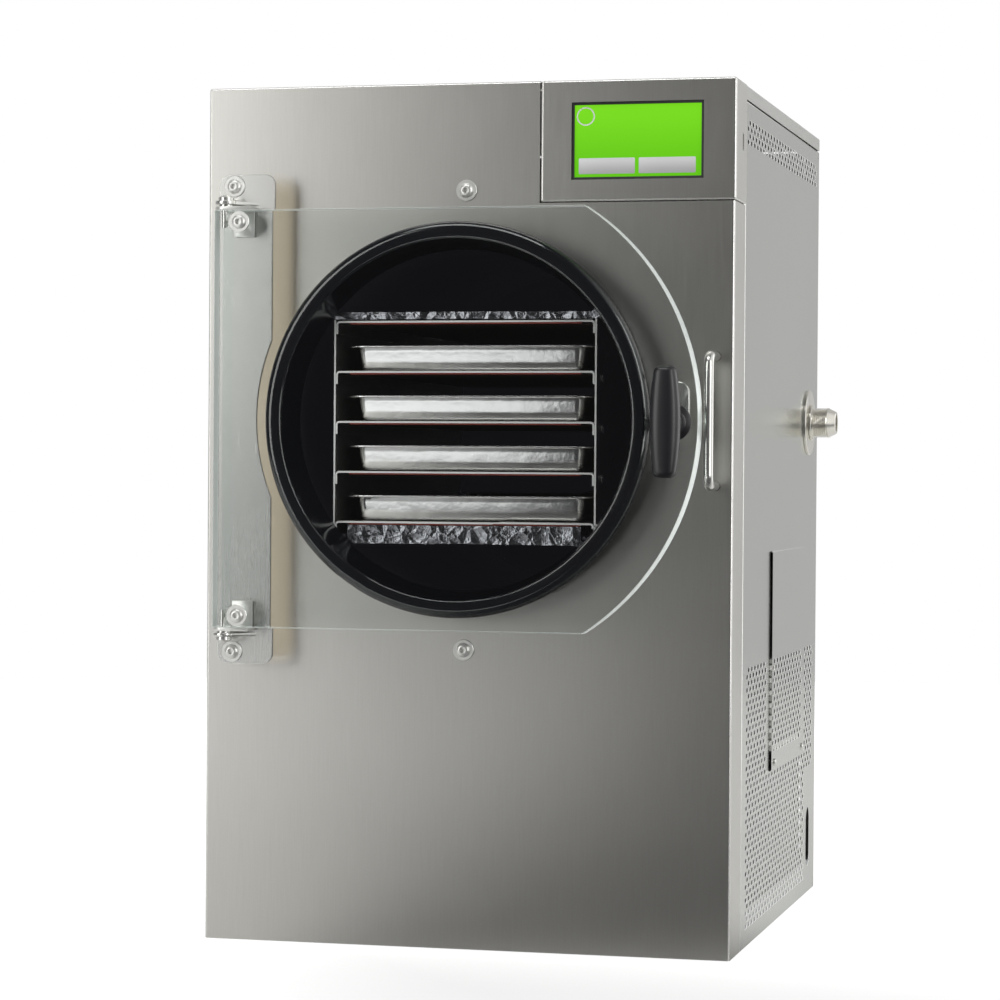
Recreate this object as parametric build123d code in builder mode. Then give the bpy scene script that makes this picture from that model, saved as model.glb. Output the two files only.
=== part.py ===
from build123d import *
import os

os.makedirs("parts", exist_ok=True)

# A bench freeze dryer: a stainless cabinet round a vacuum drum, closed by a clear
# door on a rubber ring, with a heated rack of trays inside and a refrigeration set
# below.  Millimetres.  +Z is up, -Y is the front, and the origin lies on the floor
# below the middle of the cabinet.

# ---- driving sizes: cabinet ----
cabinet_width = 457.2
cabinet_depth = 489.0
cabinet_height = 730.2
sheet = 1.0                  # steel sheet of every cabinet panel
bend = 2.0                   # outside radius of a folded edge
seam = 0.8                   # joint between two neighbouring panels
seat = 0.2                   # clearance between pieces that sit on each other
front_return = 52.0          # how far the front panel folds back round the sides
panel_return = 14.0          # inward fold round a side panel
cover_flange = 12.2          # fold of the top cover
base_sheet = 1.5
base_flange = 30.0

# ---- driving sizes: control housing ----
housing_width = 165.6
housing_height = 101.2
housing_overhang = 0.8       # how far its side stands outside the cabinet side
window_width = 112.0
window_height = 64.6
window_from_right = 83.4     # window centre from the housing's right side
window_from_top = 50.8
bezel_rim = 2.2              # black frame seen inside the window
bezel_thickness = 2.0
display_thickness = 6.0
board_thickness = 1.6
board_gap = 4.0
usb_depth_in = 34.0          # port centre behind the cabinet front
usb_from_top = 50.4
usb_width = 5.4
usb_height = 13.0
usb_wall = 0.8
usb_length = 14.0

# ---- driving sizes: vacuum drum and its ring ----
chamber_z = 446.0
drum_radius = 149.7          # inside
drum_wall = 2.0
drum_length = 442.0          # back of the drum behind the cabinet front
drum_end = 3.0               # plate that closes the drum's back
drum_nose = 20.0             # how far the drum's rim stands in front of the panel
ring_proud = 34.0            # front of the rubber ring, where the door's back lies
ring_radius = 165.5
ring_mouth = 143.2
ring_lip = 14.8              # width of the face that the door presses on
ring_foot = 158.5            # outside radius where the ring meets the panel
ring_waist = 160.0           # outside radius behind the lip
ring_flare = 18.0            # where the lip starts, in front of the panel
ring_lip_depth = 9.5
ring_round = 2.6
ring_sleeve = 1.2            # how far the ring's sleeve reaches into the drum
flange_radius = 178.0
flange_thickness = 3.0
ear_width = 40.0
ear_reach = 204.0
jacket_radius = 190.0        # outside of the foam jacket
jacket_wall = 22.0           # foam behind the drum
cold_tube = 9.5              # outside diameter of the cold tubes
cold_tube_turns = 9
cold_tube_start = 30.0       # first turn, behind the cabinet front
cold_tube_length = 365.0
cradle_depth = 395.0         # sheet saddle below the jacket's back
cradle_half = 165.0
cradle_height = 366.0
cradle_sheet = 2.0
cradle_foot = 30.0
front_screw_circle = 193.5   # panel screws above and below the ring

# ---- driving sizes: rack and trays ----
rack_width = 228.0
rack_length = 422.0
rack_inset = 2.0             # front of the rack behind the cabinet front
rack_plate = 1.5
rack_drop = 0.8              # middle shelf below the drum's axis
shelf_count = 5
shelf_pitch = 42.4
shelf_sheet = 1.6
shelf_fold = 11.0
plate_below = 5.0            # side plate below the lowest shelf's top
plate_above = 1.0
heater_thickness = 1.2
heater_margin = 12.0
foil_above = 7.2             # reflective pad on the top shelf
foil_below = 16.0            # and the one under the lowest heater
foil_below_width = 203.0
tray_width = 217.6
tray_length = 402.0
tray_height = 22.0
tray_inset = 11.0            # tray's front behind the rack's front
tray_wall = 0.8
tray_rim = 8.0
tray_draft = 4.5             # how much narrower the floor is, each side
tray_corner = 16.0
rail_width = 11.0

# ---- driving sizes: door, hinge and latch ----
door_left = -205.0
door_radius = 208.7          # round edge, about the drum's axis
door_half_height = 175.4
door_thickness = 20.0
hinge_x = -198.0
hinge_plate_left = -208.5
hinge_plate_width = 49.0
hinge_plate_height = 414.0
hinge_plate_sheet = 3.0
hinge_plate_proud = 30.0
hinge_plate_corner = 9.0
ring_gap = 7.1               # between the rubber ring and the hinge plate
arm_root = 33.4              # length of a fixed arm's weld to the plate
arm_sheet = 3.0
arm_gap = 1.9                # room for the collar between the two arms
arm_end = 9.0                # radius of an arm's round end
bracket_drop = 22.0          # upright leg of a door bracket
bracket_sheet = 2.0
bracket_reach = 24.0
pin_collar = 6.0
pin_nut = 6.5
pin_nut_height = 4.5
pin_radius = 2.5
running_gap = 0.05           # radial clearance of a turning fit
working_gap = 0.3            # between pieces that move past each other
pin_depth = 14.5             # how far a pin reaches into the door
plate_bolt_x = -195.3
plate_bolt_half = 197.0      # bolts above and below the drum's axis
standoff_radius = 8.0
door_screw_in = 15.0         # bracket screw from the hinge axis
door_screw_down = 10.1       # bracket screw from the door's edge
latch_x = 188.3
latch_drop = 2.0             # latch below the drum's axis
shaft_radius = 5.0
bush_radius = 8.0
bush_flange_radius = 12.5
bush_flange = 2.0
handle_length = 90.0
handle_width = 22.4
handle_end_width = 15.6
handle_thickness = 20.0
handle_neck = 20.0           # grip's back in front of the door
handle_boss_radius = 15.2
handle_boss = 3.0
handle_neck_radius = 9.0
handle_round = 3.0
shaft_in_handle = 34.0
finger_width = 19.0
finger_reach = 34.0
finger_tail = 11.0
finger_thickness = 6.0
finger_back = 7.0            # finger's front behind the door's back
latch_nut = 8.0
latch_nut_thickness = 4.0
keeper_proud = 34.0          # keeper bar's centre in front of the panel
keeper_tail = 7.0            # legs behind the panel
keeper_nut = 7.0
keeper_x = 213.8
keeper_rod = 8.0
keeper_height = 107.0        # between the legs' centres
keeper_bend = 9.0

# ---- driving sizes: screws ----
screw_radius = 2.5
screw_head_radius = 4.9
screw_head_height = 2.8
socket_across = 3.0
washer_radius = 8.3
washer_thickness = 1.2
hole_clearance = 0.3
small_screw_radius = 1.5
small_head_radius = 3.4
small_head_height = 1.8

# ---- driving sizes: side panels ----
slot_length = 12.7
slot_height = 3.2
band_pitch = 16.5            # slots along a row of the top band
band_row = 5.6
band_rows = 4
band_top = 28.5              # top row's upper edge below the cabinet top
band_margin = 14.0
field_pitch = 24.75
field_row = 8.4
field_low = 15.0
field_high = 237.0
cover_front = 205.0          # access cover, from the cabinet front
cover_length = 198.0
cover_low = 138.0
cover_height = 196.0
cover_proud = 1.8
cover_sheet = 0.8
cover_strip = 14.0           # plain strip along the cover's foot
opening_margin = 16.0        # cover's overlap round the access opening
cable_hole_depth = 445.0     # from the cabinet front
cable_hole_z = 53.5
cable_hole_width = 27.0
cable_hole_height = 57.0

# ---- driving sizes: vacuum port ----
port_depth = 424.0           # from the cabinet front
port_rise = 5.7              # above the drum's axis
port_disc_radius = 31.0
port_disc = 3.0
port_thread_radius = 14.2
port_thread = 15.0
port_nose = 7.3
port_nose_radius = 10.0
port_collar_radius = 17.0
port_collar = 2.2
port_bore = 8.0
port_tube_radius = 12.0
port_tail = 20.0             # fitting inside the side panel

# ---- driving sizes: refrigeration and power ----
compressor_radius = 82.0
compressor_height = 178.0
compressor_x = -95.0
compressor_y = 30.0
compressor_foot = 12.0       # rubber mounts
compressor_plate = 3.0
compressor_plate_length = 190.0
mount_radius = 11.0
mount_spacing = 150.0
condenser_thickness = 40.0
condenser_length = 330.0
condenser_height = 210.0
condenser_gap = 8.0          # from the side panel
condenser_y = -10.0
fin_sheet = 1.0
fin_count = 30
condenser_tube = 9.5
condenser_rows = 6
fan_radius = 95.0
fan_hub_radius = 24.0
fan_blades = 5
fan_width = 18.0
blade_chord = 34.0
blade_sheet = 2.0
blade_pitch = 32.0
shroud_gap = 5.0
shroud_depth = 26.0
shroud_length = 226.0
motor_radius = 36.0
motor_length = 52.0
motor_shaft = 4.0
line_radius = 4.0
line_bend = 16.0
inlet_x = 140.0
inlet_z = 650.0
inlet_width = 48.0
inlet_height = 62.0
inlet_flange = 2.0
inlet_depth = 34.0
rocker_width = 13.0
rocker_height = 22.0
rocker_depth = 8.0
rocker_tilt = 8.0
rocker_pin = 1.2
rocker_above = 14.0          # rocker's centre above the inlet's
pocket_gap = 0.4
outlet_step = 62.0           # pump outlet beside the inlet
outlet_size = 40.0
outlet_depth = 24.0
vent_count = 12
vent_length = 120.0
vent_pitch = 10.0
vent_low = 70.0

# ---- places worked out from the sizes ----
half_width = cabinet_width / 2
front_y = -cabinet_depth / 2
back_y = cabinet_depth / 2
side_front = front_y + front_return + seam
side_top = cabinet_height - cover_flange - seam
housing_right = half_width + housing_overhang
housing_left = housing_right - housing_width
housing_base = cabinet_height - housing_height
window_x = housing_right - window_from_right
window_z = cabinet_height - window_from_top
door_back = front_y - ring_proud
door_front = door_back - door_thickness
door_mid = door_back - door_thickness / 2
door_top = chamber_z + door_half_height
latch_z = chamber_z - latch_drop
rack_front = front_y + rack_inset
rack_z = chamber_z - rack_drop
plate_front = front_y - hinge_plate_proud
plate_back = plate_front + hinge_plate_sheet
bracket_z = door_top + seat
port_y = front_y + port_depth
port_z = chamber_z + port_rise
inner_side = half_width - sheet
fan_x = inner_side - condenser_gap - condenser_thickness
condenser_z = base_sheet + seat + condenser_height / 2
drum_outer = drum_radius + drum_wall
plate_low = rack_z - shelf_pitch * (shelf_count - 1) / 2 - plate_below
plate_high = rack_z + shelf_pitch * (shelf_count - 1) / 2 + plate_above
shelf_tops = [rack_z + shelf_pitch * (k - (shelf_count - 1) / 2) for k in range(shelf_count)]


def facing_front(y):
    """Plane seen from the front: sketch x is X, sketch y is Z, and it faces -Y."""
    return Plane(origin=(0, y, 0), x_dir=(1, 0, 0), z_dir=(0, -1, 0))


def facing_side(x):
    """Plane seen from the right: sketch x is Y, sketch y is Z, and it faces +X."""
    return Plane(origin=(x, 0, 0), x_dir=(0, 1, 0), z_dir=(1, 0, 0))


def facing_up(z):
    """Level plane: sketch x is X, sketch y is Y."""
    return Plane.XY.offset(z)


def save(piece, name):
    """Label a finished piece and write it to its STEP file."""
    piece.part.label = name
    export_step(piece.part, f"parts/{name}.step")


def box(x0, x1, y0, y1, z0, z1, mode=Mode.ADD):
    """Box between two corners, inside the part that is open."""
    with Locations(((x0 + x1) / 2, (y0 + y1) / 2, (z0 + z1) / 2)):
        Box(x1 - x0, y1 - y0, z1 - z0, mode=mode)


def front_disc(x, z, radius, y, thickness, mode=Mode.ADD):
    """Round disc from the plane y towards the front."""
    with BuildSketch(facing_front(y)) as outline:
        with Locations((x, z)):
            Circle(radius)
    extrude(outline.sketch, amount=thickness, mode=mode)


def side_disc(y, z, radius, x, thickness, mode=Mode.ADD):
    """Round disc from the plane x outwards to the right."""
    with BuildSketch(facing_side(x)) as outline:
        with Locations((y, z)):
            Circle(radius)
    extrude(outline.sketch, amount=thickness, mode=mode)


def upright_disc(x, y, radius, z, height, mode=Mode.ADD):
    """Round disc from the level z upwards."""
    with BuildSketch(facing_up(z)) as outline:
        with Locations((x, y)):
            Circle(radius)
    extrude(outline.sketch, amount=height, mode=mode)


def turned(points, at, towards, mode=Mode.ADD):
    """Turn a closed outline of (radius, distance) points about the line from `at` along `towards`."""
    across = Plane(origin=at, z_dir=towards)
    section = Plane(origin=at, x_dir=across.x_dir, z_dir=across.x_dir.cross(across.z_dir))
    with BuildSketch(section) as outline:
        with BuildLine():
            Polyline(*points, close=True)
        make_face()
    revolve(outline.sketch, axis=Axis(at, towards), mode=mode)


def button_screw(at, towards, length):
    """Button-head screw with a hexagon socket; `at` is under the head, which points `towards`."""
    crown = screw_head_height * 0.45
    turned([(0, -length), (screw_radius, -length), (screw_radius, 0), (screw_head_radius, 0),
            (screw_head_radius, crown), (screw_head_radius * 0.85, screw_head_height * 0.85),
            (screw_head_radius * 0.6, screw_head_height), (0, screw_head_height)], at, towards)
    with BuildSketch(Plane(origin=at, z_dir=towards).offset(screw_head_height)) as socket:
        RegularPolygon(socket_across / 2, 6, major_radius=False)
    extrude(socket.sketch, amount=-screw_head_height * 0.6, mode=Mode.SUBTRACT)


def plain_washer(at, towards, radius, bore, thickness):
    """Washer whose back lies at `at`."""
    bevel = thickness * 0.3
    turned([(bore, 0), (radius, 0), (radius, thickness - bevel), (radius - bevel, thickness),
            (bore, thickness)], at, towards)


def both_screw_heights(half):
    """The two heights that lie the same distance above and below the drum's axis."""
    return (chamber_z - half, chamber_z + half)


# ---- cabinet ----
with BuildPart() as base_pan:
    base_inset = sheet + seat
    box(-half_width + base_inset, half_width - base_inset, front_y + base_inset,
        back_y - base_inset, 0, base_flange)
    fillet(edges().filter_by(Axis.Z), bend)
    offset(amount=-base_sheet, openings=faces().sort_by(Axis.Z)[-1])
save(base_pan, "base_pan")

with BuildPart() as front_panel:
    box(-half_width, half_width, front_y, front_y + front_return, 0, cabinet_height)
    fillet(edges().filter_by(Axis.Z).group_by(Axis.Y)[0], bend)
    fillet(edges().filter_by(Axis.X).group_by(Axis.Z)[-1].sort_by(Axis.Y)[0], bend)
    offset(amount=-sheet, openings=[faces().sort_by(Axis.Y)[-1], faces().sort_by(Axis.Z)[0]])
    box(housing_left - seam, half_width, front_y, front_y + front_return,
        housing_base - seam, cabinet_height, mode=Mode.SUBTRACT)
    front_disc(0, chamber_z, drum_radius + drum_wall + seam, front_y + sheet, sheet,
               mode=Mode.SUBTRACT)
    for z in both_screw_heights(front_screw_circle):
        front_disc(0, z, screw_radius + hole_clearance, front_y + sheet, sheet, mode=Mode.SUBTRACT)
    for z in both_screw_heights(plate_bolt_half):
        front_disc(plate_bolt_x, z, screw_radius + hole_clearance, front_y + sheet, sheet,
                   mode=Mode.SUBTRACT)
    for z in both_screw_heights(keeper_height / 2):
        front_disc(keeper_x, z, keeper_rod / 2 + hole_clearance, front_y + sheet, sheet,
                   mode=Mode.SUBTRACT)
save(front_panel, "front_panel")

with BuildPart() as control_housing:
    box(housing_left, housing_right, front_y, front_y + front_return, housing_base, cabinet_height)
    fillet(edges().filter_by(Axis.Z).group_by(Axis.Y)[0], bend)
    fillet(edges().filter_by(Axis.X).group_by(Axis.Y)[0], bend)
    offset(amount=-sheet, openings=faces().sort_by(Axis.Y)[-1])
    box(window_x - window_width / 2, window_x + window_width / 2, front_y, front_y + sheet,
        window_z - window_height / 2, window_z + window_height / 2, mode=Mode.SUBTRACT)
    usb_y = front_y + usb_depth_in
    usb_z = cabinet_height - usb_from_top
    usb_out = usb_width / 2 + usb_wall + seat
    usb_up = usb_height / 2 + usb_wall + seat
    box(housing_right - sheet, housing_right, usb_y - usb_out, usb_y + usb_out,
        usb_z - usb_up, usb_z + usb_up, mode=Mode.SUBTRACT)
save(control_housing, "control_housing")

with BuildPart() as usb_port:
    box(housing_right - usb_length, housing_right, usb_y - usb_width / 2 - usb_wall,
        usb_y + usb_width / 2 + usb_wall, usb_z - usb_height / 2 - usb_wall,
        usb_z + usb_height / 2 + usb_wall)
    offset(amount=-usb_wall, openings=faces().sort_by(Axis.X)[-1])
save(usb_port, "usb_port")

bezel_y = front_y + sheet + seat
display_y = bezel_y + bezel_thickness + seat
board_y = display_y + display_thickness + board_gap
display_width = window_width + 4 * bezel_rim
display_height = window_height + 4 * bezel_rim

with BuildPart() as display_bezel:
    with BuildSketch(facing_front(bezel_y)):
        with Locations((window_x, window_z)):
            RectangleRounded(display_width, display_height, bezel_rim)
            Rectangle(window_width - 2 * bezel_rim, window_height - 2 * bezel_rim,
                      mode=Mode.SUBTRACT)
    extrude(amount=-bezel_thickness)
save(display_bezel, "display_bezel")

with BuildPart() as touch_display:
    with BuildSketch(facing_front(display_y)):
        with Locations((window_x, window_z)):
            RectangleRounded(display_width, display_height, bezel_rim)
    extrude(amount=-display_thickness)
save(touch_display, "touch_display")

with BuildPart() as display_board:
    post_x = display_width / 2 - 2 * bezel_rim
    post_z = display_height / 2 - 2 * bezel_rim
    with BuildSketch(facing_front(board_y)):
        with Locations((window_x, window_z)):
            Rectangle(display_width, display_height)
    extrude(amount=-board_thickness)
    with BuildSketch(facing_front(board_y)):
        with Locations((window_x, window_z)):
            with GridLocations(2 * post_x, 2 * post_z, 2, 2):
                Circle(bezel_rim)
    extrude(amount=board_gap - seat)
    for x, z, wide, high, deep in ((-30, 8, 26, 26, 4), (10, -12, 18, 14, 3), (35, 14, 20, 12, 9)):
        with BuildSketch(facing_front(board_y + board_thickness)):
            with Locations((window_x + x, window_z + z)):
                Rectangle(wide, high)
        extrude(amount=-deep)
save(display_board, "display_board")


def slot_places(length, pitch, row, rows):
    """Slot centres of a staggered field, about the field's middle."""
    places = []
    for k in range(rows):
        count = int((length - slot_length) / pitch) + 1 - k % 2
        for j in range(count):
            places.append(((j - (count - 1) / 2) * pitch, (k - (rows - 1) / 2) * row))
    return places


def cut_slots(x, middle_y, middle_z, places, depth):
    """Cut slots through a side sheet whose outer face lies at x."""
    with BuildSketch(facing_side(x)) as outline:
        with Locations((middle_y, middle_z)):
            with Locations(*places):
                Rectangle(slot_length, slot_height)
    extrude(outline.sketch, amount=-depth, mode=Mode.SUBTRACT)


panel_length = back_y - side_front
band_height = slot_height + band_row * (band_rows - 1)
band_z = cabinet_height - band_top - band_height / 2
band_places = slot_places(panel_length - 2 * band_margin, band_pitch, band_row, band_rows)
band_y = side_front + panel_length / 2


def side_tray(x0, x1):
    """Side panel folded inwards along its front, top and back edges."""
    box(x0, x1, side_front, back_y, 0, side_top)
    outer = faces().sort_by(Axis.X)[-1 if x1 > 0 else 0]
    upright = outer.edges().filter_by(Axis.Z)
    top = outer.edges().filter_by(Axis.Y).sort_by(Axis.Z)[-1]
    fillet(upright + [top], bend)
    inner = faces().filter_by(Axis.X).sort_by(Axis.X)[0 if x1 > 0 else -1]
    offset(amount=-sheet, openings=[inner, faces().sort_by(Axis.Z)[0]])
    inside = (x1 - sheet, x0 - sheet) if x1 > 0 else (x0 + sheet, x1 + sheet)
    box(min(inside), max(inside), side_front, back_y, 0, base_flange + seat, mode=Mode.SUBTRACT)


with BuildPart() as left_side_panel:
    side_tray(-half_width, -half_width + panel_return)
    cut_slots(-half_width + sheet, band_y, band_z, band_places, sheet)
save(left_side_panel, "left_side_panel")

# The access cover lies over an opening in the right side panel.
cover_y0 = front_y + cover_front
cover_y1 = cover_y0 + cover_length
cover_top = cover_low + cover_height
opening_y0 = cover_y0 + opening_margin
opening_y1 = cover_y1 - opening_margin
opening_low = cover_low + cover_strip + opening_margin / 2
opening_top = cover_top - opening_margin
cable_y = front_y + cable_hole_depth
cable_clear = cable_hole_height / 2 + cable_hole_width


def field_places():
    """Slots of the lower field that stay clear of the cover and the cable hole."""
    length = panel_length - 2 * band_margin
    rows = int((field_high - field_low - slot_height) / field_row) + 1
    middle_z = (field_high + field_low) / 2
    kept = []
    for y, z in slot_places(length, field_pitch, field_row, rows):
        y_world, z_world = band_y + y, middle_z + z
        reach = slot_length / 2 + slot_height
        by_cover = cover_y0 - reach < y_world < cover_y1 + reach and z_world > cover_low - slot_height
        by_hole = abs(y_world - cable_y) < cable_hole_width and abs(z_world - cable_hole_z) < cable_clear
        if not by_cover and not by_hole:
            kept.append((y, z))
    return kept


with BuildPart() as right_side_panel:
    side_tray(half_width - panel_return, half_width)
    cut_slots(half_width, band_y, band_z, band_places, sheet)
    cut_slots(half_width, band_y, (field_high + field_low) / 2, field_places(), sheet)
    box(half_width - sheet, half_width, opening_y0, opening_y1, opening_low, opening_top,
        mode=Mode.SUBTRACT)
    side_disc(port_y, port_z, port_tube_radius + hole_clearance, half_width - sheet, sheet,
              mode=Mode.SUBTRACT)
    with BuildSketch(facing_side(half_width)):
        with Locations((cable_y, cable_hole_z)):
            SlotOverall(cable_hole_height, cable_hole_width, rotation=90)
    extrude(amount=-sheet, mode=Mode.SUBTRACT)
    for y in (cover_y0 + opening_margin, cover_y1 - opening_margin):
        side_disc(y, cover_low + cover_strip / 2, small_screw_radius + hole_clearance,
                  half_width - sheet, sheet, mode=Mode.SUBTRACT)
save(right_side_panel, "right_side_panel")

with BuildPart() as side_access_cover:
    box(half_width, half_width + cover_proud, cover_y0, cover_y1, cover_low, cover_top)
    offset(amount=-cover_sheet, openings=[faces().sort_by(Axis.X)[0], faces().sort_by(Axis.Y)[0]])
    cover_rows = int((field_high - cover_low - cover_strip - slot_height) / field_row) + 1
    cover_field = field_high - slot_height / 2 - (cover_rows - 1) * field_row / 2
    cut_slots(half_width + cover_proud, (cover_y0 + cover_y1) / 2, cover_field,
              slot_places(cover_length - opening_margin, field_pitch, field_row, cover_rows),
              cover_sheet)
    for y in (cover_y0 + opening_margin, cover_y1 - opening_margin):
        side_disc(y, cover_low + cover_strip / 2, small_screw_radius + hole_clearance,
                  half_width, cover_proud, mode=Mode.SUBTRACT)
save(side_access_cover, "side_access_cover")

with BuildPart() as access_cover_screws:
    for y in (cover_y0 + opening_margin, cover_y1 - opening_margin):
        side_disc(y, cover_low + cover_strip / 2, small_head_radius,
                  half_width + cover_proud, small_head_height)
        side_disc(y, cover_low + cover_strip / 2, small_screw_radius,
                  half_width - 3 * sheet, 3 * sheet + cover_proud)
    fillet(edges().filter_by(GeomType.CIRCLE).group_by(Axis.X)[-1], small_head_height * 0.6)
save(access_cover_screws, "access_cover_screws")

with BuildPart() as top_cover:
    box(-half_width, half_width, side_front, back_y, cabinet_height - cover_flange, cabinet_height)
    fillet(faces().sort_by(Axis.Z)[-1].edges(), bend)
    offset(amount=-sheet, openings=faces().sort_by(Axis.Z)[0])
save(top_cover, "top_cover")

back_half = half_width - panel_return - seam
outlet_x = inlet_x - outlet_step
with BuildPart() as back_panel:
    box(-back_half, back_half, back_y - sheet, back_y, seat, side_top - sheet - seat)
    box(inlet_x - inlet_width / 2 + 3 * sheet, inlet_x + inlet_width / 2 - 3 * sheet,
        back_y - sheet, back_y, inlet_z - inlet_height / 2 + 3 * sheet,
        inlet_z + inlet_height / 2 - 3 * sheet, mode=Mode.SUBTRACT)
    box(outlet_x - outlet_size / 2 + 3 * sheet, outlet_x + outlet_size / 2 - 3 * sheet,
        back_y - sheet, back_y, inlet_z - outlet_size / 2 + 3 * sheet,
        inlet_z + outlet_size / 2 - 3 * sheet, mode=Mode.SUBTRACT)
    with BuildSketch(facing_front(back_y)):
        with Locations((0, vent_low + vent_pitch * (vent_count - 1) / 2)):
            with GridLocations(vent_length + vent_pitch, vent_pitch, 2, vent_count):
                Rectangle(vent_length, slot_height)
    extrude(amount=sheet, mode=Mode.SUBTRACT)
save(back_panel, "back_panel")

# ---- vacuum drum ----
rail_top = shelf_tops[0] - shelf_fold - seat
with BuildPart() as vacuum_drum:
    turned([(drum_radius, -drum_nose), (drum_outer, -drum_nose),
            (drum_outer, drum_length + drum_end), (0, drum_length + drum_end),
            (0, drum_length), (drum_radius, drum_length)], (0, front_y, chamber_z), (0, 1, 0))
    with BuildSketch(facing_front(rack_front + rack_length)):
        for side in (-1, 1):
            with Locations((side * (rack_width - rail_width) / 2, rail_top - drum_radius / 2)):
                Rectangle(rail_width, drum_radius)
        with Locations((0, chamber_z)):
            Circle(drum_radius + drum_wall / 2, mode=Mode.INTERSECT)
    extrude(amount=rack_length)
    side_disc(port_y, port_z, port_bore, drum_radius - drum_wall * 4, drum_wall * 8,
              mode=Mode.SUBTRACT)
save(vacuum_drum, "vacuum_drum")

with BuildPart() as drum_flange:
    with BuildSketch(facing_front(front_y + sheet + seat)):
        with Locations((0, chamber_z)):
            Circle(flange_radius)
            Rectangle(ear_width, 2 * ear_reach)
            Circle(drum_outer + seat, mode=Mode.SUBTRACT)
            with GridLocations(1, 2 * front_screw_circle, 1, 2):
                Circle(screw_radius + seat, mode=Mode.SUBTRACT)
    extrude(amount=-flange_thickness)
save(drum_flange, "drum_flange")

coil_radius = drum_outer + seat + cold_tube / 2
with BuildPart() as cold_coil:
    with BuildLine() as coil_line:
        Helix(cold_tube_length / cold_tube_turns, cold_tube_length, coil_radius,
              center=(0, front_y + cold_tube_start, chamber_z), direction=(0, 1, 0))
    with BuildSketch(Plane(origin=coil_line.line @ 0, z_dir=coil_line.line % 0)):
        Circle(cold_tube / 2)
    sweep(is_frenet=True)
save(cold_coil, "cold_coil")

jacket_start = sheet + flange_thickness + 3 * seat
jacket_bore = drum_outer + cold_tube + 3 * seat
jacket_floor = drum_length + drum_end + seat
with BuildPart() as foam_jacket:
    turned([(jacket_bore, jacket_start), (jacket_radius, jacket_start),
            (jacket_radius, jacket_floor + jacket_wall), (0, jacket_floor + jacket_wall),
            (0, jacket_floor), (jacket_bore, jacket_floor)], (0, front_y, chamber_z), (0, 1, 0))
    side_disc(port_y, port_z, port_tube_radius + seat, jacket_bore - jacket_wall,
              3 * jacket_wall, mode=Mode.SUBTRACT)
save(foam_jacket, "foam_jacket")

cradle_y = front_y + cradle_depth
with BuildPart() as drum_cradle:
    cradle_low = base_sheet + seat
    with BuildSketch(facing_front(cradle_y)):
        with Locations((0, (cradle_low + cradle_height) / 2)):
            Rectangle(2 * cradle_half, cradle_height - cradle_low)
        with Locations((0, chamber_z)):
            Circle(jacket_radius + seat, mode=Mode.SUBTRACT)
    extrude(amount=-cradle_sheet)
    box(-cradle_half, cradle_half, cradle_y, cradle_y + cradle_foot, cradle_low,
        cradle_low + cradle_sheet)
save(drum_cradle, "drum_cradle")

with BuildPart() as vacuum_pipe:
    pipe_start = drum_outer + seat
    side_disc(port_y, port_z, port_tube_radius, pipe_start,
              half_width - port_tail - seat - pipe_start)
    side_disc(port_y, port_z, port_bore, pipe_start, half_width - pipe_start, mode=Mode.SUBTRACT)
save(vacuum_pipe, "vacuum_pipe")

# The rubber ring slips over the drum's rim; the door closes against its lip.
with BuildPart() as door_ring:
    face = ring_proud - working_gap
    lip_back = face - ring_lip_depth
    lip_inside = ring_radius - ring_lip
    with BuildSketch(Plane(origin=(0, front_y, chamber_z), x_dir=(1, 0, 0), z_dir=(0, 0, 1))) as section:
        with BuildLine():
            Polyline((ring_foot, -seat), (ring_waist, -ring_flare), (ring_radius, -lip_back),
                     (ring_radius, -face), (lip_inside, -face), (ring_mouth, 0),
                     (ring_mouth, ring_sleeve), (drum_radius - seat, ring_sleeve),
                     (drum_radius - seat, -drum_nose - seat), (drum_outer + seat, -drum_nose - seat),
                     (drum_outer + seat, -seat), close=True)
        make_face()
        fillet(section.vertices().group_by(Axis.Y)[0], ring_round)
    revolve(axis=Axis((0, front_y, chamber_z), (0, 1, 0)))
save(door_ring, "door_ring")

# ---- rack ----
rack_back = rack_front + rack_length
plate_inside = rack_width / 2 - rack_plate
with BuildPart() as rack_left_plate:
    box(-rack_width / 2, -plate_inside, rack_front, rack_back, plate_low, plate_high)
save(rack_left_plate, "rack_left_plate")

with BuildPart() as rack_right_plate:
    box(plate_inside, rack_width / 2, rack_front, rack_back, plate_low, plate_high)
save(rack_right_plate, "rack_right_plate")

shelf_half = plate_inside - seat
for number, top in enumerate(shelf_tops, start=1):
    with BuildPart() as shelf:
        box(-shelf_half, shelf_half, rack_front, rack_back, top - shelf_fold, top)
        fillet(edges().filter_by(Axis.Y).group_by(Axis.Z)[-1], shelf_sheet * 2)
        offset(amount=-shelf_sheet, openings=[faces().sort_by(Axis.Z)[0],
                                              faces().sort_by(Axis.Y)[0],
                                              faces().sort_by(Axis.Y)[-1]])
    save(shelf, f"shelf_{number}")

with BuildPart() as heater_mats:
    for top in shelf_tops:
        under = top - shelf_sheet
        box(-shelf_half + heater_margin, shelf_half - heater_margin, rack_front + rack_plate,
            rack_back - heater_margin, under - heater_thickness, under)
save(heater_mats, "heater_mats")

with BuildPart() as foil_pads:
    top_pad = shelf_tops[-1] + seat
    low_pad = shelf_tops[0] - shelf_sheet - heater_thickness - seat
    box(-rack_width / 2, rack_width / 2, rack_front, rack_back, plate_high + seat, top_pad + foil_above)
    box(-shelf_half + rack_plate, shelf_half - rack_plate, rack_front, rack_back, top_pad,
        plate_high + 2 * seat)
    box(-foil_below_width / 2, foil_below_width / 2, rack_front, rack_back, low_pad - foil_below, low_pad)
save(foil_pads, "foil_pads")

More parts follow.
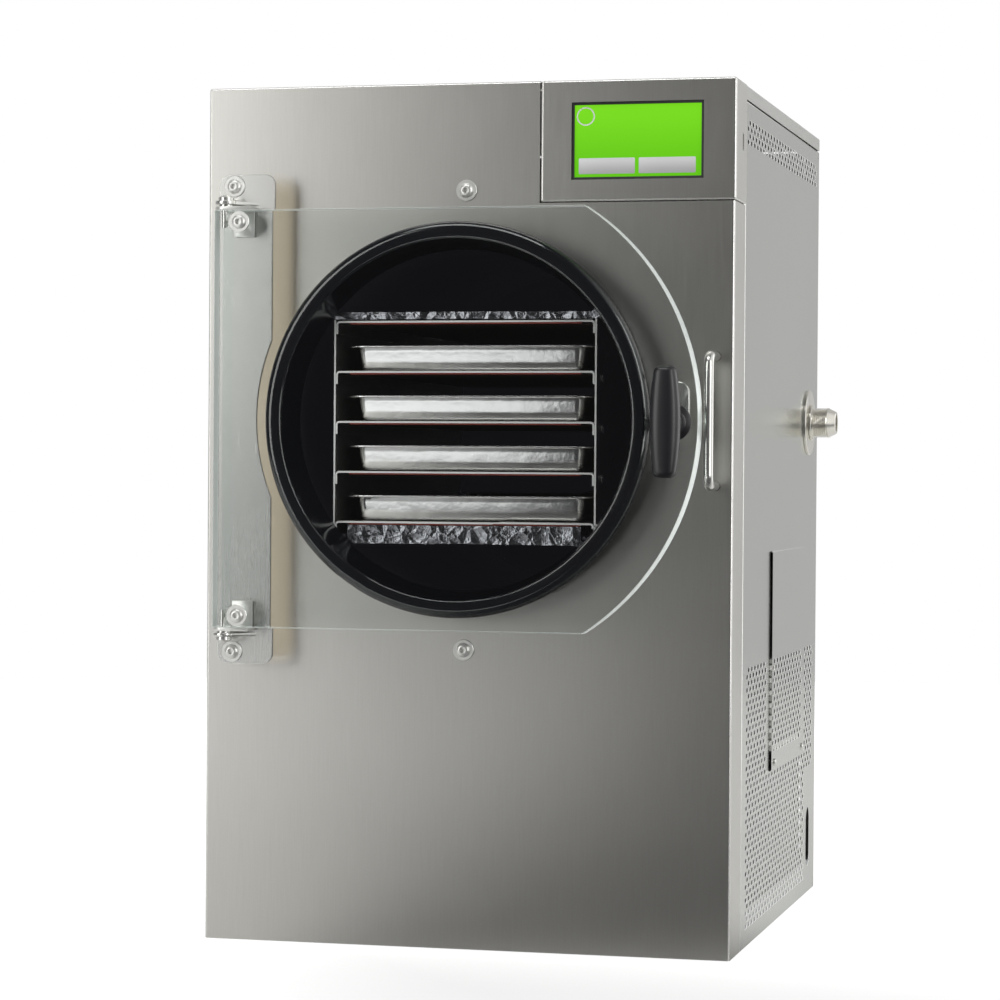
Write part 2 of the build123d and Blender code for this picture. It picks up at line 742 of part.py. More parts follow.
with BuildPart() as rack_screws:
    for top in shelf_tops[1:-1]:
        for y in (rack_front + 2 * shelf_fold, rack_back - 2 * shelf_fold):
            for side in (-1, 1):
                turned([(0, seat), (small_head_radius, seat),
                        (small_head_radius, small_head_height / 2),
                        (small_head_radius / 2, small_head_height), (0, small_head_height)],
                       (side * rack_width / 2, y, top - shelf_fold / 2), (side, 0, 0))
save(rack_screws, "rack_screws")


def tray(floor_z):
    """Sheet tray with sloping walls and a flat rim."""
    top_z = floor_z + tray_height
    body_width = tray_width - 2 * tray_rim
    body_length = tray_length - 2 * tray_rim
    middle_y = rack_front + tray_inset + tray_length / 2
    with BuildSketch(facing_up(floor_z)) as floor:
        with Locations((0, middle_y)):
            RectangleRounded(body_width - 2 * tray_draft, body_length - 2 * tray_draft, tray_corner)
    with BuildSketch(facing_up(top_z)) as mouth:
        with Locations((0, middle_y)):
            RectangleRounded(body_width, body_length, tray_corner)
    loft([floor.sketch, mouth.sketch])
    offset(amount=-tray_wall, openings=faces().sort_by(Axis.Z)[-1])
    with BuildSketch(facing_up(top_z)) as rim:
        with Locations((0, middle_y)):
            RectangleRounded(tray_width, tray_length, tray_corner + tray_rim)
            RectangleRounded(body_width - tray_wall, body_length - tray_wall, tray_corner,
                             mode=Mode.SUBTRACT)
    extrude(rim.sketch, amount=-tray_wall)
    with BuildSketch(facing_up(top_z)) as edge:
        with Locations((0, middle_y)):
            RectangleRounded(tray_width, tray_length, tray_corner + tray_rim)
            RectangleRounded(tray_width - 2 * tray_wall, tray_length - 2 * tray_wall,
                             tray_corner + tray_rim - tray_wall, mode=Mode.SUBTRACT)
    extrude(edge.sketch, amount=-tray_wall * 3)


for number, top in enumerate(shelf_tops[:-1], start=1):
    with BuildPart() as tray_piece:
        tray(top + seat)
    save(tray_piece, f"tray_{number}")

# ---- hinge ----
ends = ((1, door_top), (-1, 2 * chamber_z - door_top))
with BuildPart() as hinge_plate:
    with BuildSketch(facing_front(plate_back)):
        with Locations((hinge_plate_left + hinge_plate_width / 2, chamber_z)):
            RectangleRounded(hinge_plate_width, hinge_plate_height, hinge_plate_corner)
        with Locations((0, chamber_z)):
            Circle(ring_radius + ring_gap, mode=Mode.SUBTRACT)
    extrude(amount=hinge_plate_sheet)
    for z in both_screw_heights(plate_bolt_half):
        front_disc(plate_bolt_x, z, standoff_radius, front_y - seat, -plate_back + front_y - seat)
        front_disc(plate_bolt_x, z, screw_radius + seat, front_y, front_y - plate_front,
                   mode=Mode.SUBTRACT)
save(hinge_plate, "hinge_plate")

with BuildPart() as front_bolts:
    for z in both_screw_heights(plate_bolt_half):
        bore = screw_radius + seat
        plain_washer((plate_bolt_x, plate_front, z), (0, -1, 0), washer_radius, bore, washer_thickness)
        button_screw((plate_bolt_x, plate_front - washer_thickness, z), (0, -1, 0),
                     hinge_plate_proud + 6 * sheet)
    for z in both_screw_heights(front_screw_circle):
        plain_washer((0, front_y, z), (0, -1, 0), washer_radius, bore, washer_thickness)
        button_screw((0, front_y - washer_thickness, z), (0, -1, 0), 9 * sheet)
save(front_bolts, "front_bolts")

with BuildPart() as hinge_arms:
    for up, edge in ends:
        near = edge + up * (seat + arm_sheet + arm_gap)
        root = hinge_x - arm_end + arm_root
        with BuildSketch(facing_up(min(near, near + up * arm_sheet))) as arm:
            with BuildLine():
                Polyline((hinge_x - arm_end, plate_front), (root, plate_front),
                         (hinge_x + arm_end, door_mid), (hinge_x - arm_end, door_mid), close=True)
            make_face()
            with Locations((hinge_x, door_mid)):
                Circle(arm_end)
                Circle(pin_radius + seat, mode=Mode.SUBTRACT)
        extrude(arm.sketch, amount=arm_sheet)
save(hinge_arms, "hinge_arms")

with BuildPart() as hinge_pins:
    for up, edge in ends:
        collar = seat + arm_sheet + seat
        arm_far = seat + arm_sheet + arm_gap + arm_sheet + seat
        turned([(0, -pin_depth), (pin_radius, -pin_depth), (pin_radius, collar),
                (pin_collar, collar), (pin_collar, arm_far - arm_sheet - 2 * seat),
                (pin_radius, arm_far - arm_sheet - 2 * seat), (pin_radius, arm_far),
                (pin_nut, arm_far), (pin_nut, arm_far + pin_nut_height * 0.6),
                (pin_nut * 0.6, arm_far + pin_nut_height), (0, arm_far + pin_nut_height)],
               (hinge_x, door_mid, edge), (0, 0, up))
save(hinge_pins, "hinge_pins")

# ---- door ----
screw_x = hinge_x + door_screw_in
with BuildPart() as door_panel:
    with BuildSketch(facing_front(door_back)):
        kink = (door_radius ** 2 - door_half_height ** 2) ** 0.5
        with BuildLine():
            Line((door_left, chamber_z - door_half_height), (kink, chamber_z - door_half_height))
            ThreePointArc((kink, chamber_z - door_half_height), (door_radius, chamber_z),
                          (kink, chamber_z + door_half_height))
            Line((kink, chamber_z + door_half_height), (door_left, chamber_z + door_half_height))
            Line((door_left, chamber_z + door_half_height), (door_left, chamber_z - door_half_height))
        make_face()
        with Locations((latch_x, latch_z)):
            Circle(bush_radius + seat, mode=Mode.SUBTRACT)
        for up, edge in ends:
            with Locations((screw_x, edge - up * door_screw_down)):
                Circle(screw_radius + seat, mode=Mode.SUBTRACT)
    extrude(amount=door_thickness)
    for up, edge in ends:
        deep = pin_depth + working_gap
        upright_disc(hinge_x, door_mid, pin_radius + running_gap, min(edge, edge - up * deep), deep,
                     mode=Mode.SUBTRACT)
save(door_panel, "door_panel")

with BuildPart() as door_brackets:
    for up, edge in ends:
        near = edge + up * seat
        with BuildSketch(facing_up(min(near, near + up * arm_sheet))) as tab:
            with BuildLine():
                Polyline((hinge_x, door_back + seat), (hinge_x + bracket_reach, door_back + seat),
                         (hinge_x + bracket_reach, door_mid - arm_end), (hinge_x, door_mid - arm_end),
                         close=True)
            make_face()
            with Locations((hinge_x, door_mid)):
                Circle(arm_end)
                Circle(pin_radius + working_gap, mode=Mode.SUBTRACT)
        extrude(tab.sketch, amount=arm_sheet)
        leg_end = edge - up * bracket_drop
        box(screw_x - arm_end, hinge_x + bracket_reach, door_back + seat,
            door_back + seat + bracket_sheet, min(leg_end, near + up * arm_sheet),
            max(leg_end, near + up * arm_sheet))
        front_disc(screw_x, edge - up * door_screw_down, screw_radius + seat,
                   door_back + 2 * bracket_sheet, 3 * bracket_sheet, mode=Mode.SUBTRACT)
save(door_brackets, "door_brackets")

with BuildPart() as door_screws:
    for up, edge in ends:
        z = edge - up * door_screw_down
        plain_washer((screw_x, door_front, z), (0, -1, 0), washer_radius, screw_radius + seat,
                     washer_thickness)
        button_screw((screw_x, door_front - washer_thickness, z), (0, -1, 0),
                     washer_thickness + door_thickness + bracket_sheet)
save(door_screws, "door_screws")

# ---- latch ----
latch_at = (latch_x, door_front, latch_z)
with BuildPart() as latch_bush:
    bore = shaft_radius + running_gap
    behind = door_thickness + seat
    turned([(bore, 0), (bush_radius, 0), (bush_radius, behind), (bush_flange_radius, behind),
            (bush_flange_radius, behind + bush_flange), (bush_radius, behind + bush_flange),
            (bush_radius, door_thickness + finger_back - working_gap),
            (bore, door_thickness + finger_back - working_gap)], latch_at, (0, 1, 0))
save(latch_bush, "latch_bush")

grip_back = door_front - handle_neck
with BuildPart() as latch_handle:
    half = handle_length / 2
    bevel = (handle_width - handle_end_width) / 2
    with BuildSketch(facing_front(grip_back)):
        with BuildLine(facing_front(grip_back)):
            Polyline((latch_x - handle_end_width / 2, latch_z - half),
                     (latch_x + handle_end_width / 2, latch_z - half),
                     (latch_x + handle_width / 2, latch_z), (latch_x + handle_end_width / 2, latch_z + half),
                     (latch_x - handle_end_width / 2, latch_z + half), (latch_x - handle_width / 2, latch_z),
                     close=True)
        make_face()
        fillet(vertices(), handle_end_width / 2 - bevel / 2)
    extrude(amount=handle_thickness)
    fillet(edges().group_by(Axis.Y)[0] + edges().group_by(Axis.Y)[-1], handle_round)
    turned([(0, working_gap), (handle_boss_radius, working_gap),
            (handle_boss_radius, working_gap + handle_boss),
            (handle_neck_radius, working_gap + handle_boss),
            (handle_neck_radius, handle_neck + handle_round), (0, handle_neck + handle_round)],
           latch_at, (0, -1, 0))
    front_disc(latch_x, latch_z, shaft_radius + seat, door_front, shaft_in_handle + seat,
               mode=Mode.SUBTRACT)
save(latch_handle, "latch_handle")

finger_front = door_back + finger_back
with BuildPart() as latch_finger:
    with BuildSketch(facing_front(finger_front + finger_thickness)):
        with Locations((latch_x, latch_z + (finger_reach - finger_tail) / 2)):
            SlotOverall(finger_reach + finger_tail, finger_width, rotation=90)
        with Locations((latch_x, latch_z)):
            Circle(shaft_radius + seat, mode=Mode.SUBTRACT)
    extrude(amount=finger_thickness)
save(latch_finger, "latch_finger")

with BuildPart() as latch_shaft:
    nut_at = finger_front + finger_thickness + seat
    shaft_back = nut_at + latch_nut_thickness + 2 * seat
    front_disc(latch_x, latch_z, shaft_radius, shaft_back, shaft_back - door_front + shaft_in_handle)
    with BuildSketch(facing_front(nut_at)):
        with Locations((latch_x, latch_z)):
            RegularPolygon(latch_nut, 6, major_radius=False)
    extrude(amount=-latch_nut_thickness)
save(latch_shaft, "latch_shaft")

with BuildPart() as latch_keeper:
    bar_y = front_y - keeper_proud
    tail_y = front_y + sheet + keeper_tail
    low_leg, high_leg = both_screw_heights(keeper_height / 2)
    with BuildLine() as bar_line:
        FilletPolyline((keeper_x, tail_y, low_leg), (keeper_x, bar_y, low_leg),
                       (keeper_x, bar_y, high_leg), (keeper_x, tail_y, high_leg), radius=keeper_bend)
    with BuildSketch(Plane(origin=bar_line.line @ 0, z_dir=bar_line.line % 0)):
        Circle(keeper_rod / 2)
    sweep()
    for z in (low_leg, high_leg):
        with BuildSketch(facing_front(front_y + sheet + seat)):
            with Locations((keeper_x, z)):
                RegularPolygon(keeper_nut, 6, major_radius=False)
        extrude(amount=-keeper_tail + 2 * seat)
save(latch_keeper, "latch_keeper")

# ---- vacuum port ----
with BuildPart() as port_disc_piece:
    plain_washer((half_width, port_y, port_z), (1, 0, 0), port_disc_radius,
                 port_tube_radius + seat, port_disc)
save(port_disc_piece, "port_disc")

with BuildPart() as vacuum_port:
    collar_end = port_disc + seat + port_collar
    thread_end = collar_end + port_thread
    turned([(port_bore, -port_tail), (port_tube_radius, -port_tail),
            (port_tube_radius, port_disc + seat), (port_collar_radius, port_disc + seat),
            (port_collar_radius, collar_end), (port_thread_radius, collar_end),
            (port_thread_radius, thread_end), (port_nose_radius, thread_end + port_nose),
            (port_bore, thread_end + port_nose)], (half_width, port_y, port_z), (1, 0, 0))
save(vacuum_port, "vacuum_port")

# ---- refrigeration set ----
with BuildPart() as compressor_mounts:
    mount_low = base_sheet + seat
    for side in (-1, 1):
        upright_disc(compressor_x + side * mount_spacing / 2, compressor_y, mount_radius,
                     mount_low, compressor_foot)
save(compressor_mounts, "compressor_mounts")

with BuildPart() as compressor:
    plate_z = mount_low + compressor_foot + seat
    pot_low = plate_z + compressor_plate
    dome = compressor_radius / 3
    box(compressor_x - compressor_plate_length / 2, compressor_x + compressor_plate_length / 2,
        compressor_y - mount_radius * 3, compressor_y + mount_radius * 3, plate_z, pot_low)
    turned([(0, 0), (compressor_radius - dome, 0), (compressor_radius, dome),
            (compressor_radius, compressor_height - 1.5 * dome),
            (compressor_radius - dome * 0.7, compressor_height - dome * 0.4),
            (compressor_radius / 3, compressor_height), (0, compressor_height)],
           (compressor_x, compressor_y, pot_low), (0, 0, 1))
save(compressor, "compressor")

condenser_low = base_sheet + seat
condenser_top = condenser_low + condenser_height
condenser_y0 = condenser_y - condenser_length / 2
condenser_y1 = condenser_y + condenser_length / 2
condenser_x = fan_x + condenser_thickness / 2
with BuildPart() as condenser:
    fin_pitch = (condenser_length - fin_sheet) / (fin_count - 1)
    with Locations((condenser_x, condenser_y, condenser_z)):
        with GridLocations(1, fin_pitch, 1, fin_count):
            Box(condenser_thickness, fin_sheet, condenser_height)
    row_pitch = condenser_height / condenser_rows
    with BuildSketch(facing_front(condenser_y1)):
        with Locations((condenser_x, condenser_z)):
            with GridLocations(1, row_pitch, 1, condenser_rows):
                Circle(condenser_tube / 2)
    extrude(amount=condenser_length)
save(condenser, "condenser")

shroud_x = fan_x - seat
with BuildPart() as fan_shroud:
    box(shroud_x - shroud_depth, shroud_x, condenser_y - shroud_length / 2,
        condenser_y + shroud_length / 2, condenser_low, condenser_top)
    offset(amount=-base_sheet, openings=faces().sort_by(Axis.X)[-1])
    side_disc(condenser_y, condenser_z, fan_radius + shroud_gap, shroud_x - shroud_depth,
              shroud_depth / 2, mode=Mode.SUBTRACT)
save(fan_shroud, "fan_shroud")

hub_x = shroud_x - shroud_depth / 2
motor_front = shroud_x - shroud_depth - shroud_gap
with BuildPart() as fan:
    side_disc(condenser_y, condenser_z, fan_hub_radius, hub_x - fan_width / 2, fan_width)
    blade_middle = (fan_radius + fan_hub_radius) / 2 - shroud_gap
    for k in range(fan_blades):
        with Locations(Location((hub_x, condenser_y, condenser_z), (k * 360 / fan_blades, 0, 0))):
            with Locations((0, blade_middle, 0)):
                Box(blade_sheet, fan_radius - fan_hub_radius, blade_chord, rotation=(0, blade_pitch, 0))
    side_disc(condenser_y, condenser_z, motor_shaft, motor_front - motor_length / 2,
              hub_x - motor_front + motor_length / 2)
save(fan, "fan")

with BuildPart() as fan_motor:
    side_disc(condenser_y, condenser_z, motor_radius, motor_front - motor_length, motor_length)
    box(motor_front - motor_length * 0.75, motor_front - motor_length * 0.25,
        condenser_y - motor_radius / 2, condenser_y + motor_radius / 2, condenser_low, condenser_z)
    side_disc(condenser_y, condenser_z, motor_shaft + running_gap, motor_front - motor_length * 0.6,
              motor_length, mode=Mode.SUBTRACT)
save(fan_motor, "fan_motor")

line_level = condenser_top + 3 * line_bend / 2
line_x = compressor_x + 2 * compressor_radius
jacket_bottom = chamber_z - jacket_radius
with BuildPart() as refrigerant_lines:
    mid_z = pot_low + compressor_height / 2
    suction_y = compressor_y + compressor_radius + 2 * line_bend
    runs = (
        ((compressor_x + compressor_radius + seat, compressor_y, mid_z), (line_x, compressor_y, mid_z),
         (line_x, condenser_y0 + line_bend, mid_z), (line_x, condenser_y0 + line_bend, line_level),
         (condenser_x, condenser_y0 + line_bend, line_level),
         (condenser_x, condenser_y0 + line_bend, condenser_top + seat)),
        ((condenser_x, condenser_y1 - line_bend, condenser_top + seat),
         (condenser_x, condenser_y1 - line_bend, line_level),
         (line_x / 2, condenser_y1 - line_bend, line_level),
         (line_x / 2, condenser_y1 - line_bend, jacket_bottom - seat)),
        ((compressor_x, compressor_y + compressor_radius + seat, mid_z),
         (compressor_x, suction_y, mid_z), (compressor_x, suction_y, line_level),
         (0, suction_y, line_level), (0, suction_y, jacket_bottom - seat)),
    )
    for run in runs:
        with BuildLine() as line_path:
            FilletPolyline(*run, radius=line_bend)
        with BuildSketch(Plane(origin=line_path.line @ 0, z_dir=line_path.line % 0)):
            Circle(line_radius)
        sweep()
save(refrigerant_lines, "refrigerant_lines")

# ---- power parts on the back ----
rocker_z = inlet_z + rocker_above
pocket_half = rocker_width / 2 + pocket_gap
with BuildPart() as power_inlet:
    plate_y = back_y + inlet_flange
    body_width = inlet_width - 8 * sheet
    body_height = inlet_height - 8 * sheet
    box(inlet_x - inlet_width / 2, inlet_x + inlet_width / 2, back_y, plate_y,
        inlet_z - inlet_height / 2, inlet_z + inlet_height / 2)
    box(inlet_x - body_width / 2, inlet_x + body_width / 2, plate_y - inlet_depth, back_y,
        inlet_z - body_height / 2, inlet_z + body_height / 2)
    box(inlet_x - pocket_half, inlet_x + pocket_half, plate_y - 2 * rocker_depth, plate_y,
        rocker_z - rocker_height / 2 - pocket_gap, rocker_z + rocker_height / 2 + pocket_gap,
        mode=Mode.SUBTRACT)
    box(inlet_x - body_width / 4, inlet_x + body_width / 4, plate_y - inlet_depth / 2, plate_y,
        inlet_z - inlet_height / 3, inlet_z, mode=Mode.SUBTRACT)
    side_disc(plate_y, rocker_z, rocker_pin + running_gap * 2, inlet_x - pocket_half - 2 * sheet,
              2 * pocket_half + 4 * sheet, mode=Mode.SUBTRACT)
save(power_inlet, "power_inlet")

with BuildPart() as power_rocker:
    half = rocker_height / 2
    with BuildSketch(Plane(origin=(inlet_x, plate_y, rocker_z), x_dir=(0, 1, 0), z_dir=(1, 0, 0)).rotated(
            (rocker_tilt, 0, 0))):
        with BuildLine():
            Polyline((half * 0.2, -half), (half * 0.2, half), (-half * 0.2, half * 0.9),
                     (-rocker_depth, half * 0.4), (-rocker_depth, -half * 0.4),
                     (-half * 0.2, -half * 0.9), close=True)
        make_face()
        with Locations((half * 0.9, 0)):
            Circle(half * 0.8, mode=Mode.SUBTRACT)
    extrude(amount=rocker_width / 2, both=True)
    side_disc(plate_y, rocker_z, rocker_pin, inlet_x - pocket_half - sheet, 2 * (pocket_half + sheet))
save(power_rocker, "power_rocker")

with BuildPart() as pump_outlet:
    box(outlet_x - outlet_size / 2, outlet_x + outlet_size / 2, back_y, plate_y,
        inlet_z - outlet_size / 2, inlet_z + outlet_size / 2)
    outlet_body = outlet_size - 8 * sheet
    box(outlet_x - outlet_body / 2, outlet_x + outlet_body / 2, plate_y - outlet_depth, back_y,
        inlet_z - outlet_body / 2, inlet_z + outlet_body / 2)
    for x, z in ((-1, 0), (1, 0), (0, 1)):
        box(outlet_x + (x - 0.25) * outlet_body / 4, outlet_x + (x + 0.25) * outlet_body / 4,
            plate_y - outlet_depth / 2, plate_y, inlet_z + (z - 0.5) * outlet_body / 4,
            inlet_z + (z + 0.5) * outlet_body / 4, mode=Mode.SUBTRACT)
save(pump_outlet, "pump_outlet")
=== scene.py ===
import math

import bmesh
import bpy
from mathutils import Matrix, Vector, noise


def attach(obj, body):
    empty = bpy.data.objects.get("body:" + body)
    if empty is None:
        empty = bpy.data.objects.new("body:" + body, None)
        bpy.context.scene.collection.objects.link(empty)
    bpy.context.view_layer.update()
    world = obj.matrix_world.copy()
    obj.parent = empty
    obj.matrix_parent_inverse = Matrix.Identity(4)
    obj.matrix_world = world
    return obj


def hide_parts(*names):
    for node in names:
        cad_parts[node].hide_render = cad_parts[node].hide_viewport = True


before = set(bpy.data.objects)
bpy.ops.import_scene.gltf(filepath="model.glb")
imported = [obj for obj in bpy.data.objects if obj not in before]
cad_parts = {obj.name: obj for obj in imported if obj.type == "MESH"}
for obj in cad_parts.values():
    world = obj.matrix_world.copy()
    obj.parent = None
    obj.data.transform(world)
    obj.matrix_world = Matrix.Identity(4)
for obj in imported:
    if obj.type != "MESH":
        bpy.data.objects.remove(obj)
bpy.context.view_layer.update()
MM = 0.001

# Sizes shared with the solid model, in millimetres. A rise is counted up and down from chamber_z.
cabinet_half = 228.6
cabinet_front = -244.5
cabinet_back = 244.5
side_front = cabinet_front + 52.8
side_top = 717.2
chamber_z = 446.0
door_thickness = 20.0
door_back = cabinet_front - 34.0
door_front = door_back - door_thickness
latch_x, latch_z = 188.3, 444.0
plate_middle = -184.0
bolt_x, bolt_rise = -195.3, 197.0
panel_bolt_rise = 193.5
screw_x, screw_rise = -183.0, 165.3
port_y, port_z = cabinet_front + 424.0, 451.7
key_low, key_high = 652.0, 665.2
screen_low, screen_height = 650.0, 60.0


# ---------------------------------------------------------------- finishes
class Value:
    """A node's output that takes part in ordinary sums."""

    def __init__(self, nodes, socket):
        self.nodes = nodes
        self.socket = socket

    def sum(self, operation, *inputs):
        node = self.nodes.make("ShaderNodeMath", {"operation": operation}, dict(enumerate(inputs)))
        return Value(self.nodes, node.outputs[0])

    def __add__(self, other):
        return self.sum("ADD", self, other)

    def __radd__(self, other):
        return self.sum("ADD", other, self)

    def __sub__(self, other):
        return self.sum("SUBTRACT", self, other)

    def __rsub__(self, other):
        return self.sum("SUBTRACT", other, self)

    def __mul__(self, other):
        return self.sum("MULTIPLY", self, other)

    def __truediv__(self, other):
        return self.sum("DIVIDE", self, other)

    def __mod__(self, other):
        return self.sum("MODULO", self, other)

    def __pow__(self, other):
        return self.sum("POWER", self, other)

    def absolute(self):
        return self.sum("ABSOLUTE", self)

    def floor(self):
        return self.sum("FLOOR", self)

    def larger(self, other):
        return self.sum("MAXIMUM", self, other)

    def between(self, start, end, low=0.0, high=1.0):
        """low before start, high after end, smooth in between."""
        node = self.nodes.make(
            "ShaderNodeMapRange", {"interpolation_type": "SMOOTHSTEP", "clamp": True},
            {"Value": self, "From Min": start, "From Max": end, "To Min": low, "To Max": high})
        return Value(self.nodes, node.outputs[0])


class Nodes:
    """Fills a node tree."""

    def __init__(self, tree):
        self.tree = tree

    def make(self, kind, options={}, inputs={}):
        """Add a node: its options first, then the values or links of its sockets."""
        node = self.tree.nodes.new(kind)
        for key, value in options.items():
            setattr(node, key, value)
        for key, value in inputs.items():
            self.join(node.inputs[key.replace("_", " ") if isinstance(key, str) else key], value)
        return node

    def join(self, socket, value):
        """Set a socket to a number, a colour or another node's output."""
        if isinstance(value, Value):
            value = value.socket
        if isinstance(value, bpy.types.NodeSocket):
            self.tree.links.new(value, socket)
        elif isinstance(value, (tuple, list)) and len(value) == 3 and socket.type == "RGBA":
            socket.default_value = (*value, 1.0)
        else:
            socket.default_value = value

    def axes(self, kind):
        """A texture coordinate, and its X, Y and Z."""
        point = self.make("ShaderNodeTexCoord").outputs[kind]
        split = self.make("ShaderNodeSeparateXYZ", {}, {0: point})
        return point, [Value(self, split.outputs[k]) for k in range(3)]


class Finish(Nodes):
    """One procedural material."""

    def __init__(self, name, **settings):
        self.material = bpy.data.materials.new(name)
        self.material.use_nodes = True
        super().__init__(self.material.node_tree)
        self.tree.nodes.clear()
        self.output = self.make("ShaderNodeOutputMaterial")
        self.shader = self.make("ShaderNodeBsdfPrincipled", {}, settings)
        self.join(self.output.inputs["Surface"], self.shader.outputs[0])
        self.placed = None

    def places(self):
        """X, Y and Z of the piece, in metres."""
        if self.placed is None:
            self.placed = self.axes("Object")
        return self.placed[1]

    def stretched(self, x=1.0, y=1.0, z=1.0):
        """Object position, scaled along each axis."""
        self.places()
        return self.make("ShaderNodeVectorMath", {"operation": "MULTIPLY"},
                         {0: self.placed[0], 1: (x, y, z)}).outputs[0]

    def turned(self):
        """1 on a rounded fold between the flat faces of a sheet, 0 on the faces themselves."""
        x, y, z = (axis.absolute() for axis in self.axes("Normal")[1])
        return 1.0 - x.larger(y).larger(z).between(0.90, 0.985)

    def grain(self, scale, detail=3.0, rough=0.5, x=1.0, y=1.0, z=1.0):
        """Noise value, stretched along the axes."""
        node = self.make("ShaderNodeTexNoise", {},
                         {"Vector": self.stretched(x, y, z), "Scale": scale, "Detail": detail,
                          "Roughness": rough})
        return Value(self, node.outputs[0])

    def blend(self, amount, first, second):
        """Mix of two colours."""
        return self.make("ShaderNodeMix", {"data_type": "RGBA", "clamp_factor": True},
                         {0: amount, 6: first, 7: second}).outputs[2]

    def bump(self, height, distance, strength=1.0):
        """Raise the surface by a height value."""
        node = self.make("ShaderNodeBump", {},
                         {"Height": height, "Distance": distance, "Strength": strength})
        self.join(self.shader.inputs["Normal"], node.outputs[0])

    def let_light_through(self, colour):
        """Pass shadow rays and reflected rays straight through, tinted."""
        path = self.make("ShaderNodeLightPath").outputs
        passing = Value(self, path["Is Shadow Ray"]).larger(Value(self, path["Is Reflection Ray"]))
        through = self.make("ShaderNodeBsdfTransparent", {}, {"Color": colour})
        mixed = self.make("ShaderNodeMixShader", {},
                          {0: passing, 1: self.shader.outputs[0], 2: through.outputs[0]})
        self.join(self.output.inputs["Surface"], mixed.outputs[0])

    def set(self, **inputs):
        """Link or set sockets of the main shader."""
        for key, value in inputs.items():
            self.join(self.shader.inputs[key.replace("_", " ")], value)


def brushed_sheet_with_bend_highlight(name, dark, light, rough, along, depth=0.00002, uneven=0.14):
    """Brushed stainless sheet whose grain runs along one axis, with a painted highlight on its folds."""
    finish = Finish(name, Metallic=1.0)
    lengthwise = {axis: (0.012 if axis == along else 1.0) for axis in "xyz"}
    lines = finish.grain(2600.0, 4.0, 0.6, **lengthwise)
    clouds = finish.grain(5.0, 2.0, 0.5)
    turned = finish.turned()
    # Rounded folds get a near-white, less metallic colour: a painted highlight where the bends catch the
    # light.
    finish.set(Base_Color=finish.blend(turned, finish.blend(lines * 0.75 + clouds * 0.25, dark, light),
                                       (0.95, 0.95, 0.93)),
               Roughness=(rough + (lines - 0.5) * uneven + (clouds - 0.5) * 0.05) * (1.0 - turned * 0.35),
               Metallic=1.0 - turned * 0.45)
    finish.bump(lines, depth, 0.5)
    return finish.material


front_sheet = brushed_sheet_with_bend_highlight("brushed_front", (0.56, 0.55, 0.52), (0.69, 0.685, 0.655), 0.32, "z")
side_sheet = brushed_sheet_with_bend_highlight("brushed_side", (0.60, 0.61, 0.585), (0.70, 0.71, 0.685), 0.20, "z")
top_sheet = brushed_sheet_with_bend_highlight("brushed_top", (0.58, 0.58, 0.56), (0.70, 0.70, 0.68), 0.32, "y")
hinge_sheet = brushed_sheet_with_bend_highlight("polished_hinge", (0.61, 0.61, 0.59), (0.68, 0.68, 0.66), 0.27, "z",
                            0.000004, 0.03)
# The glow of these two stands for light bounced between polished walls.
cut_edge = Finish("punched_edge", Base_Color=(0.86, 0.87, 0.85), Metallic=0.3, Roughness=0.4,
                  Emission_Color=(1.0, 1.0, 0.98), Emission_Strength=0.28).material
plate_back = Finish("plate_back", Base_Color=(0.66, 0.63, 0.56), Metallic=0.9, Roughness=0.25,
                    Emission_Color=(1.0, 0.90, 0.74), Emission_Strength=0.42).material
zinc_sheet = brushed_sheet_with_bend_highlight("zinc_sheet", (0.40, 0.41, 0.42), (0.52, 0.53, 0.54), 0.45, "y")


def plain_metal(name, colour, rough, spots=60.0, metallic=1.0, glow=(0.0, 0.0, 0.0), dent=0.00003):
    """Turned or pressed metal with faint handling marks."""
    finish = Finish(name, Metallic=metallic, Emission_Color=glow, Emission_Strength=1.0)
    marks = finish.grain(spots, 4.0, 0.6)
    shade = tuple(c * 0.82 for c in colour)
    finish.set(Base_Color=finish.blend(marks, shade, colour), Roughness=rough + (marks - 0.5) * 0.12)
    finish.bump(marks, dent, 0.4)
    return finish.material


bright_steel = plain_metal("bright_steel", (0.88, 0.88, 0.85), 0.20, 60.0, 0.8)
satin_steel = plain_metal("satin_fastener", (0.93, 0.93, 0.90), 0.30, 60.0, 0.55)
nickel = plain_metal("bright_nickel", (0.95, 0.93, 0.86), 0.22, 60.0, 0.9)
tray_steel = plain_metal("tray_steel", (0.82, 0.815, 0.82), 0.17, 22.0, dent=0.0016)
rack_steel = plain_metal("rack_steel", (0.66, 0.65, 0.63), 0.28, 30.0)


def shelf_sheet_with_edge_highlight():
    """Shelf steel whose front faces are painted near-white: a painted highlight for the sheared front edges
    that catch the light.
    """
    finish = Finish("shelf_steel")
    marks = finish.grain(30.0, 4.0, 0.6)
    # Faces turned to the front are painted near-white and less metallic: a painted highlight.
    front = (finish.axes("Normal")[1][1] * -1.0).between(0.3, 0.7)
    finish.set(Base_Color=finish.blend(front, finish.blend(marks, (0.52, 0.51, 0.49), (0.66, 0.65, 0.63)),
                                       (0.98, 0.98, 0.97)),
               Roughness=0.30 + (marks - 0.5) * 0.1, Metallic=1.0 - front * 0.75)
    return finish.material


shelf_steel = shelf_sheet_with_edge_highlight()
# The drum is given a very dark steel colour, and its faint glow is painted light that lifts the dark inside.
drum_steel = plain_metal("drum_inside", (0.105, 0.105, 0.125), 0.40, 20.0, 0.8, (0.0026, 0.0025, 0.0036))
copper = plain_metal("copper_tube", (0.72, 0.36, 0.22), 0.3)
fin_metal = plain_metal("condenser_fins", (0.62, 0.62, 0.62), 0.4)


